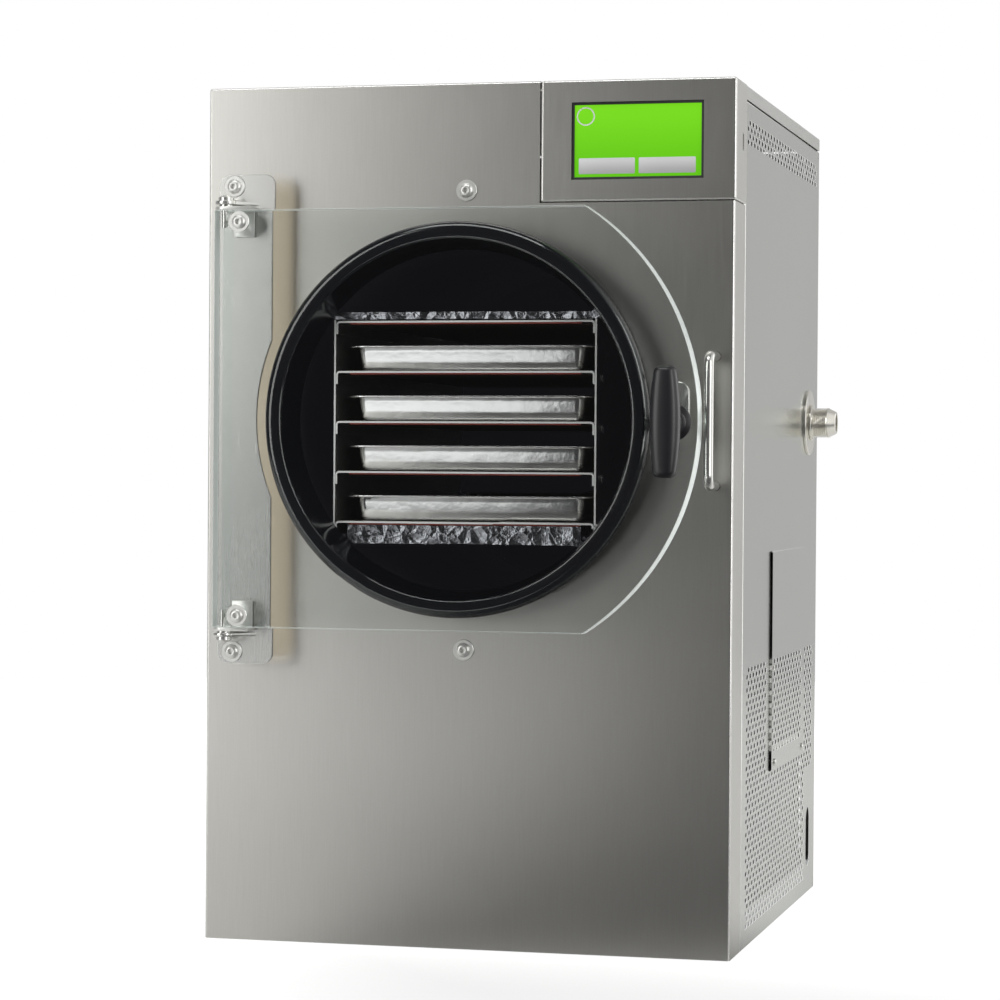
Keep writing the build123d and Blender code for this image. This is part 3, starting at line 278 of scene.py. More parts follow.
def moulded(name, colour, rough, size=900.0, depth=0.00005, coat=0.0, ior=1.5):
    """Moulded plastic, rubber or enamel with a fine texture."""
    finish = Finish(name, Coat_Weight=coat, IOR=ior)
    pores = finish.grain(size, 3.0, 0.6)
    haze = finish.grain(14.0, 2.0, 0.5)
    pale = tuple(min(1.0, c * 1.35 + 0.004) for c in colour)
    finish.set(Base_Color=finish.blend(haze, colour, pale), Roughness=rough + (haze - 0.5) * 0.12)
    finish.bump(pores, depth, 0.35)
    return finish.material


ring_rubber = moulded("ring_rubber", (0.003, 0.0034, 0.0062), 0.10, 300.0, 0.000002, 0.0, 1.85)
grip_plastic = moulded("grip_plastic", (0.013, 0.013, 0.016), 0.34, 1200.0, 0.00003, 0.0, 1.6)
black_plastic = moulded("black_plastic", (0.020, 0.020, 0.021), 0.5)
enamel = moulded("black_enamel", (0.014, 0.014, 0.015), 0.22, 200.0, 0.00003, 0.4)
foam = moulded("closed_foam", (0.035, 0.035, 0.037), 0.85, 350.0, 0.0003)
board_green = moulded("printed_board", (0.02, 0.14, 0.05), 0.4, 300.0)


def heater_sheet_with_painted_shade():
    """Orange-red silicone mat: vivid along its front edge, painted dark further in as shade under the shelf.
    """
    finish = Finish("heater_silicone", Roughness=0.6)
    # Past the front edge the mat is painted near-black: painted shade under the shelf.
    inside = (finish.places()[1] - MM * cabinet_front).between(0.0022, 0.006)
    finish.set(Base_Color=finish.blend(inside, (0.42, 0.055, 0.03), (0.035, 0.008, 0.006)))
    finish.bump(finish.grain(900.0), 0.00005, 0.3)
    return finish.material


heater_rubber = heater_sheet_with_painted_shade()


def crinkled_foil():
    """Reflective pad with sharp creases."""
    finish = Finish("crinkled_foil", Metallic=1.0)
    creases = finish.make("ShaderNodeTexVoronoi", {"feature": "F2"},
                          {"Vector": finish.stretched(), "Scale": 74.0})
    crease = Value(finish, creases.outputs[0])
    folds = finish.grain(130.0, 3.0, 0.6)
    finish.set(Base_Color=finish.blend(folds, (0.10, 0.103, 0.116), (0.40, 0.40, 0.43)),
               Roughness=0.13 + folds * 0.16)
    finish.bump(crease + folds * 0.5, 0.004, 0.8)
    return finish.material


foil = crinkled_foil()


def clear_sheet():
    """Polished acrylic that lets light through to what lies behind it."""
    finish = Finish("clear_acrylic", Base_Color=(0.985, 0.995, 0.99), Roughness=0.0, IOR=1.49,
                    Transmission_Weight=1.0)
    finish.let_light_through((0.94, 0.95, 0.945))
    return finish.material


acrylic = clear_sheet()


def sawn_edge():
    """Edge of the clear panel, which gathers light and looks pale; its faint glow is painted light."""
    finish = Finish("acrylic_edge", Base_Color=(0.86, 0.92, 0.89), Roughness=0.32, IOR=1.49,
                    Transmission_Weight=0.35, Emission_Color=(0.94, 1.0, 0.96), Emission_Strength=0.13)
    finish.bump(finish.grain(700.0), 0.00003, 0.3)
    finish.let_light_through((0.90, 0.93, 0.92))
    return finish.material


acrylic_edge = sawn_edge()


def lit_screen():
    """Green picture of the touch screen, brighter towards its top."""
    finish = Finish("lit_screen", Roughness=0.25, Emission_Strength=0.85)
    height = (finish.places()[2] - MM * screen_low) / (MM * screen_height)
    glow = finish.blend(height.between(0.0, 1.0), (0.115, 0.52, 0.006), (0.19, 0.70, 0.012))
    finish.set(Base_Color=(0.05, 0.2, 0.004), Emission_Color=glow)
    return finish.material


def screen_button():
    """Pale key of the touch screen, shaded from top to bottom."""
    finish = Finish("screen_key", Roughness=0.3, Emission_Strength=0.8)
    height = (finish.places()[2] - MM * key_low) / (MM * (key_high - key_low))
    glow = finish.blend(height.between(0.0, 1.0), (0.22, 0.22, 0.225), (0.50, 0.50, 0.51))
    finish.set(Base_Color=(0.3, 0.3, 0.3), Emission_Color=glow)
    return finish.material


screen_green = lit_screen()
screen_key = screen_button()
screen_mark = moulded("screen_mark", (0.75, 0.85, 0.70), 0.4)

finishes = (
    (front_sheet, "front_panel control_housing"),
    (top_sheet, "top_cover"),
    (side_sheet, "back_panel left_side_panel right_side_panel side_access_cover"),
    (zinc_sheet, "base_pan drum_cradle fan_shroud"),
    (drum_steel, "vacuum_drum"),
    (rack_steel, "drum_flange vacuum_pipe"),
    (shelf_steel, "rack_left_plate rack_right_plate shelf_1 shelf_2 shelf_3 shelf_4 shelf_5"),
    (tray_steel, "tray_1 tray_2 tray_3 tray_4"),
    (hinge_sheet, "hinge_plate"),
    (bright_steel, "hinge_arms door_brackets hinge_pins front_bolts door_screws rack_screws"
                   " access_cover_screws usb_port latch_shaft latch_finger latch_bush latch_keeper"),
    (acrylic, "door_panel"),
    (ring_rubber, "door_ring"),
    (heater_rubber, "heater_mats"),
    (foil, "foil_pads"),
    (grip_plastic, "latch_handle"),
    (foam, "foam_jacket compressor_mounts"),
    (copper, "cold_coil refrigerant_lines"),
    (enamel, "compressor fan_motor"),
    (fin_metal, "condenser"),
    (black_plastic, "fan power_inlet power_rocker pump_outlet display_bezel"),
    (screen_green, "touch_display"),
    (board_green, "display_board"),
    (nickel, "port_disc vacuum_port"))
for material, node_names in finishes:
    for node_name in node_names.split():
        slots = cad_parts[node_name].data.materials
        slots.clear()
        slots.append(material)


# ---------------------------------------------------------------- mesh helpers
def add_object(name, data):
    """New object of the scene."""
    item = bpy.data.objects.new(name, data)
    bpy.context.collection.objects.link(item)
    return item


def to_data(mesh, name):
    """Mesh data made from a working mesh, which is used up."""
    data = bpy.data.meshes.new(name)
    mesh.to_mesh(data)
    mesh.free()
    return data


def take_in(mesh, data):
    """Add mesh data to a working mesh and drop the data."""
    mesh.from_mesh(data)
    bpy.data.meshes.remove(data)


def evaluated(holder):
    """Mesh of a work object after its modifiers; the object is dropped."""
    result = bpy.data.meshes.new_from_object(holder.evaluated_get(bpy.context.evaluated_depsgraph_get()))
    bpy.data.objects.remove(holder)
    return result


def vertex_rings(mesh, rings):
    return [[mesh.verts.new(point) for point in ring] for ring in rings]


def join_rings(mesh, rings):
    """Faces from each closed ring of vertices to the next."""
    count = len(rings[0])
    for first, second in zip(rings, rings[1:]):
        for k in range(count):
            after = (k + 1) % count
            mesh.faces.new((first[k], first[after], second[after], second[k]))


def piece(name, mesh, body, material, stands_for=(), smooth=35.0):
    """Finish a mesh whose points are in millimetres, and hang it on its body."""
    data = to_data(mesh, name) if isinstance(mesh, bmesh.types.BMesh) else mesh
    data.transform(Matrix.Scale(MM, 4))
    data.materials.clear()
    data.materials.append(material)
    item = add_object(name, data)
    for face in data.polygons:
        face.use_smooth = True
    data.set_sharp_from_angle(angle=math.radians(smooth))
    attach(item, body)
    if stands_for:
        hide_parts(*stands_for)
    return item


def second_finish(item, material, chosen):
    """Give a second material to the chosen faces of a piece."""
    item.data.materials.append(material)
    for face in item.data.polygons:
        if chosen(face):
            face.material_index = 1


def rounded_rectangle(width, height, radius, steps=6):
    """Points round a rounded rectangle about the origin."""
    points = []
    for quarter, (sx, sy) in enumerate(((1, 1), (-1, 1), (-1, -1), (1, -1))):
        for k in range(steps + 1):
            angle = math.pi / 2 * (quarter + k / steps)
            points.append((sx * (width / 2 - radius) + radius * math.cos(angle),
                           sy * (height / 2 - radius) + radius * math.sin(angle)))
    return points


def bevelled_copy(node_name, width):
    """Copy of a solid's mesh, in millimetres, with its sharp edges broken."""
    mesh = bmesh.new()
    mesh.from_mesh(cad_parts[node_name].data)
    bmesh.ops.scale(mesh, vec=(1 / MM, 1 / MM, 1 / MM), verts=mesh.verts)
    bmesh.ops.remove_doubles(mesh, verts=mesh.verts, dist=0.001)
    bmesh.ops.dissolve_limit(mesh, angle_limit=math.radians(0.5), verts=mesh.verts, edges=mesh.edges)
    holder = add_object(node_name + "_work", to_data(mesh, node_name))
    bevel = holder.modifiers.new("edges", "BEVEL")
    bevel.width = width
    bevel.segments = 2
    bevel.limit_method = "ANGLE"
    bevel.angle_limit = math.radians(30.0)
    return evaluated(holder)


# ---------------------------------------------------------------- geometry node groups
def geometry_group(name, **inputs):
    """Geometry node group with the named inputs: its nodes, and the inputs' identifiers."""
    tree = bpy.data.node_groups.new(name, "GeometryNodeTree")
    sockets = {}
    for label, kind in inputs.items():
        added = tree.interface.new_socket(label, in_out="INPUT", socket_type="NodeSocket" + kind)
        sockets[label] = added.identifier
    tree.interface.new_socket("Geometry", in_out="OUTPUT", socket_type="NodeSocketGeometry")
    return Nodes(tree), sockets


def give_copies(group, points, shape, finish, **placing):
    """Result of a group: one copy of the shape on every point, in one material."""
    copies = group.make("GeometryNodeInstanceOnPoints", {}, {"Points": points, "Instance": shape, **placing})
    real = group.make("GeometryNodeRealizeInstances", {}, {0: copies.outputs[0]})
    dressed = group.make("GeometryNodeSetMaterial", {}, {"Geometry": real.outputs[0], "Material": finish})
    group.make("NodeGroupOutput", {}, {0: dressed.outputs[0]})


def grown(data, group, sockets, **values):
    """Mesh that a group makes on some mesh data."""
    holder = add_object(data.name, data)
    layer = holder.modifiers.new("grown", "NODES")
    layer.node_group = group.tree
    for label, value in values.items():
        layer[sockets[label]] = value
    return evaluated(holder)


# ---------------------------------------------------------------- perforated sheets
slot_pitch = 16.5
row_pitch = 5.6
slot_half = 6.35
slot_round = 2.1
sheet_depth = 1.0


def slot_cell():
    """One slot in its own tile of the sheet, seen from outside, lying in the Y-Z plane."""
    flat = slot_half - slot_round
    across = [-slot_pitch / 2, -flat, flat - slot_pitch / 2, 0.0, slot_pitch / 2 - flat, flat, slot_pitch / 2]
    arc = [(flat + slot_round * math.sin(a), -slot_round * math.cos(a))
           for a in (math.pi * k / 4 for k in range(1, 4))]
    inner = [(y, -slot_round) for y in across[1:-1]] + arc
    inner += [(-y, -z) for y, z in inner]
    low = [(y, -row_pitch / 2) for y in across[1:-1]]
    low += [(slot_pitch / 2, -row_pitch / 2), (slot_pitch / 2, 0.0), (slot_pitch / 2, row_pitch / 2)]
    outer = low + [(-y, -z) for y, z in low]
    mesh = bmesh.new()
    join_rings(mesh, vertex_rings(mesh, [
        [(x, y, z) for y, z in ring]
        for ring, x in ((outer, 0.0), (inner, 0.0), (inner, -sheet_depth), (outer, -sheet_depth))]))
    return to_data(mesh, "slot_cell")


def slot_group():
    """Node group that lays slot tiles in staggered rows; a shifted row has one tile less."""
    group, sockets = geometry_group(
        "slot_field", Geometry="Geometry", Tile="Object", Columns="Int", Rows="Int", Pitch="Float",
        Rise="Float", Shifted="Int", Corner="Vector", Finish="Material")
    entry = group.make("NodeGroupInput").outputs
    columns, rows, pitch, rise, shifted = (
        Value(group, entry[label]) for label in ("Columns", "Rows", "Pitch", "Rise", "Shifted"))
    index = Value(group, group.make("GeometryNodeInputIndex").outputs[0])
    row = (index / columns).floor()
    column = index - row * columns
    odd = (row + shifted) % 2.0
    place = group.make("ShaderNodeCombineXYZ", {}, {1: (column + odd * 0.5) * pitch, 2: row * rise})
    corner = group.make("ShaderNodeVectorMath", {"operation": "ADD"},
                        {0: place.outputs[0], 1: entry["Corner"]})
    points = group.make("GeometryNodePoints", {}, {"Count": columns * rows, "Position": corner.outputs[0]})
    last = column.sum("COMPARE", column, columns - 1.0, 0.1)
    kept = group.make("GeometryNodeDeleteGeometry", {"domain": "POINT"},
                      {"Geometry": points.outputs[0], "Selection": last * odd})
    tile = group.make("GeometryNodeObjectInfo", {}, {"Object": entry["Tile"]})
    give_copies(group, kept.outputs[0], tile.outputs["Geometry"], entry["Finish"])
    return group, sockets


slot_nodes, slot_sockets = slot_group()
tile_object = add_object("slot_tile", slot_cell())


def flat_tile(mesh, y0, y1, z0, z1, depth=sheet_depth):
    """Plain piece of sheet, front and back."""
    for x, turn in ((0.0, 1), (-depth, -1)):
        corners = [(x, y0, z0), (x, y1, z0), (x, y1, z1), (x, y0, z1)]
        mesh.faces.new([mesh.verts.new(c) for c in corners[::turn]])


def hole_tile(mesh, y0, y1, z0, z1, middle, width, height, depth=sheet_depth):
    """Piece of sheet with an upright round-ended hole."""
    radius = width / 2
    lift = height / 2 - radius
    count = 24
    hole = []
    for k in range(count):
        angle = 2 * math.pi * (k + 0.5) / count
        hole.append((middle[0] + radius * math.cos(angle),
                     middle[1] + radius * math.sin(angle) + math.copysign(lift, math.sin(angle))))
    rim = []
    for y, z in hole:
        dy, dz = y - middle[0], z - middle[1]
        grow = min(abs(((y1 if dy > 0 else y0) - middle[0]) / dy),
                   abs(((z1 if dz > 0 else z0) - middle[1]) / dz))
        rim.append((middle[0] + dy * grow, middle[1] + dz * grow))
    rings = vertex_rings(mesh, [[(x, y, z) for y, z in ring]
                                for ring, x in ((rim, 0.0), (hole, 0.0), (hole, -depth), (rim, -depth))])
    join_rings(mesh, rings)
    for sy, sz, cy, cz in ((1, 1, y1, z1), (-1, 1, y0, z1), (-1, -1, y0, z0), (1, -1, y1, z0)):
        near = sorted(range(count), key=lambda k: (rim[k][0] - cy) ** 2 + (rim[k][1] - cz) ** 2)
        on_y = next(k for k in near if abs(rim[k][0] - cy) < 1e-6)
        on_z = next(k for k in near if abs(rim[k][1] - cz) < 1e-6)
        for x, turn in ((0.0, 1), (-depth, -1)):
            corner = mesh.verts.new((x, cy, cz))
            row = rings[0] if turn == 1 else rings[3]
            face = [row[on_y], corner, row[on_z]] if sy * sz > 0 else [row[on_z], corner, row[on_y]]
            mesh.faces.new(face[::turn])


def folded_edge(mesh, path, radius, reach, depth=sheet_depth):
    """Bend along an open path of (y, z, inward y, inward z) corners, folded back by reach."""
    for outer in (True, False):
        wall = 0.0 if outer else depth
        turn = [(radius - (radius - wall) * math.sin(a), radius - (radius - wall) * math.cos(a))
                for a in (math.pi / 2 * k / 4 for k in range(5))]
        turn.append((wall, reach))
        rings = []
        for inset, sink in turn:
            rings.append([mesh.verts.new((-sink, y + iy * inset, z + iz * inset)) for y, z, iy, iz in path])
        for first, second in zip(rings, rings[1:]):
            for k in range(len(path) - 1):
                face = [first[k], first[k + 1], second[k + 1], second[k]]
                mesh.faces.new(face if outer else face[::-1])


def sheet_panel(name, side, x, outline, folds, windows, holes, reach, node_name, depth=sheet_depth):
    """Side sheet: plain tiles, slot fields, round-ended holes and folded edges."""
    y0, y1, z0, z1 = outline
    mesh = bmesh.new()
    closed = [(w[0], w[0] + w[2] * slot_pitch, w[1], w[1] + w[3] * row_pitch) for w in windows]
    blocks = closed + [h[:4] for h in holes]
    ys = sorted({y0, y1} | {b[0] for b in blocks} | {b[1] for b in blocks})
    zs = sorted({z0, z1} | {b[2] for b in blocks} | {b[3] for b in blocks})
    for low_z, high_z in zip(zs, zs[1:]):
        for low_y, high_y in zip(ys, ys[1:]):
            middle = ((low_y + high_y) / 2, (low_z + high_z) / 2)
            if not any(b[0] < middle[0] < b[1] and b[2] < middle[1] < b[3] for b in blocks):
                flat_tile(mesh, low_y, high_y, low_z, high_z, depth)
    for hole in holes:
        if len(hole) > 4:
            hole_tile(mesh, *hole, depth=depth)
    for wy, wz, columns, rows, shifted in windows:
        for k in range(rows):
            if (k + shifted) % 2:
                z = wz + k * row_pitch
                end = wy + columns * slot_pitch
                flat_tile(mesh, wy, wy + slot_pitch / 2, z, z + row_pitch, depth)
                flat_tile(mesh, end - slot_pitch / 2, end, z, z + row_pitch, depth)
        take_in(mesh, grown(bpy.data.meshes.new("field_work"), slot_nodes, slot_sockets, Tile=tile_object,
                            Columns=columns, Rows=rows, Pitch=slot_pitch, Rise=row_pitch, Shifted=shifted,
                            Corner=(0.0, wy + slot_pitch / 2, wz + row_pitch / 2), Finish=side_sheet))
    folded_edge(mesh, folds, sheet_bend, reach, depth)
    bmesh.ops.remove_doubles(mesh, verts=mesh.verts, dist=0.001)
    for vertex in mesh.verts:
        vertex.co.x = side * (x + vertex.co.x)
    if side < 0:
        bmesh.ops.reverse_faces(mesh, faces=mesh.faces)
    item = piece(name, mesh, "cabinet", side_sheet, (node_name,), 30.0)
    second_finish(item, cut_edge, lambda face: abs(face.normal.x) < 0.5
                  and y0 < face.center.y / MM < y1 and z0 < face.center.z / MM < z1)


def fold_path(y0, y1, z0, z1):
    """Corners of a sheet folded on all four sides, each with its inward direction."""
    return [(y0, z0, 0, 1), (y1, z0, -1, 1), (y1, z1, -1, -1), (y0, z1, 0, -1)]


# Windows are (y, z, columns, rows, first row shifted); holes are (y0, y1, z0, z1) and, where round-ended,
# (middle), width and height.
sheet_bend = 2.0
side_outline = (side_front + sheet_bend, cabinet_back - sheet_bend, 0.0, side_top - sheet_bend)
side_folds = [(side_front, 0.0, 1, 0), (side_front, side_top, 1, -1), (cabinet_back, side_top, -1, -1),
              (cabinet_back, 0.0, -1, 0)]
side_reach = 14.0
field_y = cabinet_front + 74.25
field_z = 14.0
band = (cabinet_front + 60.25, 680.5, 25, 4, 0)
right_windows = [band, (field_y, field_z, 21, 19, 0), (field_y, field_z + 19 * row_pitch, 24, 3, 1),
                 (field_y, field_z + 22 * row_pitch, 7, 18, 0),
                 (field_y + 20 * slot_pitch, field_z + 22 * row_pitch, 4, 18, 0)]
cable_hole = (cabinet_front + 424.0, cabinet_front + 466.0, field_z, 92.0, (cabinet_front + 445.0, 53.5),
              27.0, 57.0)
cover_opening = (cabinet_front + 221.0, cabinet_front + 387.0, 160.0, 318.0)
port_hole = (port_y - 20.0, port_y + 20.0, port_z - 20.0, port_z + 20.0, (port_y, port_z), 24.6, 24.61)
sheet_panel("right_side_sheet", 1, cabinet_half, side_outline, side_folds, right_windows,
            [cable_hole, cover_opening, port_hole], side_reach, "right_side_panel")
sheet_panel("left_side_sheet", -1, cabinet_half, side_outline, side_folds, [band], [], side_reach,
            "left_side_panel")

cover_proud = 1.8
cover_y0 = cabinet_front + 205.0
cover_y1 = cover_y0 + 198.0
cover_low, cover_top = 138.0, 334.0
sheet_panel("access_cover_sheet", 1, cabinet_half + cover_proud,
            (cover_y0, cover_y1 - sheet_bend / 2, cover_low + sheet_bend / 2, cover_top - sheet_bend / 2),
            fold_path(cover_y0, cover_y1, cover_low, cover_top),
            [(field_y + 8 * slot_pitch, field_z + 25 * row_pitch, 11, 15, 1)], [],
            cover_proud, "side_access_cover", 0.8)
bpy.data.objects.remove(tile_object)


# ---------------------------------------------------------------- door, ring and latch
def door_outline():
    """Edge of the clear panel: straight on three sides, round on the right."""
    half = 175.4
    radius = 208.7
    start = math.asin(half / radius)
    arc = [(radius * math.cos(a), radius * math.sin(a))
           for a in (-start + 2 * start * k / 72 for k in range(73))]
    return [(-205.0, half), (-205.0, -half)] + arc


def sheet_with_holes(outline, holes, thickness, edge, resolution=48):
    """Flat sheet, in its own X-Y plane, with round holes and softly broken edges."""
    curve = bpy.data.curves.new("sheet_work", "CURVE")
    curve.dimensions = "2D"
    curve.fill_mode = "BOTH"
    rings = [outline]
    for x, y, radius in holes:
        rings.append([(x + radius * math.cos(2 * math.pi * k / resolution),
                       y + radius * math.sin(2 * math.pi * k / resolution)) for k in range(resolution)])
    for ring in rings:
        spline = curve.splines.new("POLY")
        spline.points.add(len(ring) - 1)
        for point, (x, y) in zip(spline.points, ring):
            point.co = (x, y, 0.0, 1.0)
        spline.use_cyclic_u = True
    curve.extrude = thickness / 2 - edge
    curve.bevel_depth = edge
    curve.bevel_resolution = 2
    curve.offset = -edge
    mesh = bmesh.new()
    take_in(mesh, evaluated(add_object("sheet_work", curve)))
    bmesh.ops.remove_doubles(mesh, verts=mesh.verts, dist=0.001)
    bmesh.ops.recalc_face_normals(mesh, faces=mesh.faces)
    return mesh


def lathe(columns):
    """Closed body from outlines set round an axis."""
    mesh = bmesh.new()
    columns = vertex_rings(mesh, columns)
    for first, second in zip(columns, columns[1:] + columns[:1]):
        for j in range(len(first)):
            after = (j + 1) % len(first)
            mesh.faces.new((first[j], second[j], second[after], first[after]))
    return mesh


def turned_body(points, steps=96):
    """Closed body of revolution about Z from (radius, height) points."""
    angles = [2 * math.pi * k / steps for k in range(steps)]
    mesh = lathe([[(r * math.cos(a), r * math.sin(a), h) for r, h in points] for a in angles])
    bmesh.ops.remove_doubles(mesh, verts=mesh.verts, dist=0.0005)
    flat = [face for face in mesh.faces if face.calc_area() < 1e-9]
    bmesh.ops.delete(mesh, geom=flat, context="FACES")
    bmesh.ops.recalc_face_normals(mesh, faces=mesh.faces)
    return mesh


def arc_points(middle, radius, start, end, steps=5):
    """Points of an arc, angles in degrees."""
    return [(middle[0] + radius * math.cos(math.radians(start + (end - start) * k / steps)),
             middle[1] + radius * math.sin(math.radians(start + (end - start) * k / steps)))
            for k in range(steps + 1)]


def facing_front(mesh, x, y, z):
    """Turn what stands along Z, or lies flat, to face the front from (x, y, z)."""
    mesh.transform(Matrix.Translation((x, y, z)) @ Matrix.Rotation(math.pi / 2, 4, "X"))
    return mesh


door_holes = [(latch_x, latch_z - chamber_z, 8.2), (screw_x, screw_rise, 2.7), (screw_x, -screw_rise, 2.7)]
door_mesh = facing_front(sheet_with_holes(door_outline(), door_holes, door_thickness, 0.7), 0.0,
                         (door_back + door_front) / 2, chamber_z)
clear_door = piece("clear_door", door_mesh, "door", acrylic, ("door_panel",), 10.0)
second_finish(clear_door, acrylic_edge, lambda face: abs(face.normal.y) <= 0.9)

ring_height = 33.6
ring_outline = (
    [(143.4, -1.0), (143.2, 0.0)] + arc_points((152.7, 30.6), 2.4, 192, 90, 6)
    + arc_points((158.3, 26.6), 7.0, 90, -6, 10)
    + [(165.3, 25.0), (163.6, 21.8), (161.6, 19.4), (160.2, 16.0),
       (158.6, 0.2), (152.0, 0.2), (152.0, 20.1), (149.6, 20.1), (149.6, -1.0)])
ring_outline = [(r, min(h, ring_height)) for r, h in ring_outline]
ring_mesh = facing_front(turned_body(ring_outline, 160), 0.0, cabinet_front, chamber_z)
piece("rubber_door_ring", ring_mesh, "cabinet", ring_rubber, ("door_ring",), 50.0)


def grip_mesh():
    """T-handle grip: a rounded bar, fullest at its middle, with softly squared ends."""
    rings = []
    half = 45.0
    for k in range(41):
        t = -math.cos(math.pi * k / 40)
        over = max(0.0, (abs(t) - 0.90) / 0.10)
        trim = 4.5 * (1 - math.sqrt(max(0.0, 1 - over * over)))
        width = 12.6 - 4.0 * t * t - trim
        depth = 9.9 - 2.2 * t * t - trim
        ring = []
        for j in range(40):
            a = 2 * math.pi * j / 40
            c, s = math.cos(a), math.sin(a)
            ring.append((width * math.copysign(abs(c) ** 0.75, c), -depth * math.copysign(abs(s) ** 0.75, s),
                         half * t))
        rings.append(ring)
    mesh = bmesh.new()
    loops = vertex_rings(mesh, rings)
    join_rings(mesh, loops)
    mesh.faces.new(list(reversed(loops[0])))
    mesh.faces.new(loops[-1])
    bmesh.ops.remove_doubles(mesh, verts=mesh.verts, dist=0.0001)
    bmesh.ops.recalc_face_normals(mesh, faces=mesh.faces)
    return mesh


grip = grip_mesh()
bmesh.ops.translate(grip, vec=(latch_x - 1.2, door_front - 30.0, latch_z), verts=grip.verts)
neck = turned_body([(5.2, 0.3), (14.6, 0.3), (15.2, 0.9), (15.2, 2.6), (14.6, 3.2), (11.5, 3.6), (9.6, 5.0),
                    (9.0, 7.5), (9.0, 18.0), (9.6, 22.0), (5.2, 22.0)], 64)
take_in(grip, to_data(facing_front(neck, latch_x, door_front, latch_z), "neck_work"))
piece("t_handle", grip, "latch", grip_plastic, ("latch_handle",), 50.0)

for node_name, edge, slot_name, body, material in (
        ("latch_finger", 1.2, "shaft_steel", "latch", bright_steel),
        ("hinge_arms", 0.5, "hinge_steel", "cabinet", bright_steel),
        ("door_brackets", 0.4, "hinge_steel", "door", satin_steel),
        ("display_bezel", 0.4, "black_plastic", "cabinet", black_plastic)):
    piece(node_name + "_dressed", bevelled_copy(node_name, edge), body, material, (node_name,))

plate_back_gap = 27.0
plate_thickness = 3.0


def plate_outline():
    """Hinge plate with rounded corners and the hollow edge that follows the ring."""
    left, right, half, corner, hollow = -208.5, -159.5, 207.0, 9.0, 172.6
    rim = []
    for cx, cy, start in ((right - corner, half - corner, 0), (left + corner, half - corner, 90),
                          (left + corner, -half + corner, 180), (right - corner, -half + corner, 270)):
        rim += arc_points((cx, cy), corner, start, start + 90, 8)
    reach = math.acos(-right / hollow)
    turns = (-reach + 2 * reach * k / 40 for k in range(41))
    bow = [(-hollow * math.cos(a), hollow * math.sin(a)) for a in turns]
    return [(x - plate_middle, y) for x, y in rim + bow]


plate_holes = [(bolt_x - plate_middle, rise, 2.8) for rise in (bolt_rise, -bolt_rise)]
plate_mesh = facing_front(sheet_with_holes(plate_outline(), plate_holes, plate_thickness, 0.4), plate_middle,
                          cabinet_front - plate_back_gap - plate_thickness / 2, chamber_z)
for z in (chamber_z - bolt_rise, chamber_z + bolt_rise):
    post = turned_body([(2.8, 0.2), (7.6, 0.2), (8.0, 0.6), (8.0, 26.9), (2.8, 26.9)], 48)
    take_in(plate_mesh, to_data(facing_front(post, bolt_x, cabinet_front, z), "post_work"))
back_plate = piece("hinge_back_plate", plate_mesh, "cabinet", hinge_sheet,
                   ("hinge_plate",), 12.0)
second_finish(back_plate, plate_back, lambda face: face.normal.y > 0.9)


# ---------------------------------------------------------------- screws laid by geometry nodes
def screw_group():
    """Node group that sets one screw, turned at random, on every point of a mesh."""
    group, sockets = geometry_group("screw_rows", Geometry="Geometry", Screw="Object", Turn="Float",
                                    Finish="Material")
    entry = group.make("NodeGroupInput").outputs
    part = group.make("GeometryNodeObjectInfo", {}, {"Object": entry["Screw"]})
    angle = group.make("FunctionNodeRandomValue", {"data_type": "FLOAT"}, {"Seed": 4, 3: entry["Turn"]})
    turn = group.make("ShaderNodeCombineXYZ", {}, {"Y": angle.outputs[1]})
    give_copies(group, entry["Geometry"], part.outputs["Geometry"], entry["Finish"], Rotation=turn.outputs[0])
    return group, sockets


screw_nodes, screw_sockets = screw_group()


def button_screw(length):
    """Button-head screw on a bevelled washer, pointing to the front; the washer's back at 0."""
    head = turned_body(
        [(0.0, -length), (2.2, -length), (2.5, -length + 0.4), (2.5, 1.2), (5.0, 1.2), (5.3, 1.6)]
        + arc_points((2.4, -0.2), 4.2, 24, 88, 6) + [(2.35, 3.9), (2.15, 1.4), (0.0, 1.2)], 36)
    washer = turned_body([(2.6, 0.0), (8.7, 0.0), (9.0, 0.3), (9.0, 0.85), (8.6, 1.2), (2.6, 1.2)], 48)
    take_in(head, to_data(washer, "washer_work"))
    return facing_front(head, 0.0, 0.0, 0.0)


def screw_row(name, places, length, body, stands_for):
    """Set button screws at the given places."""
    data = to_data(button_screw(length), "screw_work")
    for face in data.polygons:
        face.use_smooth = True
    master = add_object("screw_work", data)
    points = bpy.data.meshes.new("screw_places")
    points.from_pydata(places, [], [])
    result = grown(points, screw_nodes, screw_sockets, Screw=master, Turn=3.0, Finish=satin_steel)
    bpy.data.objects.remove(master)
    piece(name, result, body, satin_steel, stands_for, 40.0)


plate_front = cabinet_front - plate_back_gap - plate_thickness
screw_row("plate_and_panel_bolts",
          [(x, y, chamber_z + side * rise)
           for x, y, rise in ((bolt_x, plate_front, bolt_rise), (0.0, cabinet_front, panel_bolt_rise))
           for side in (1, -1)],
          7.0, "cabinet", ("front_bolts",))
screw_row("door_bracket_screws", [(screw_x, door_front, chamber_z + side * screw_rise) for side in (1, -1)],
          22.0, "door", ("door_screws",))


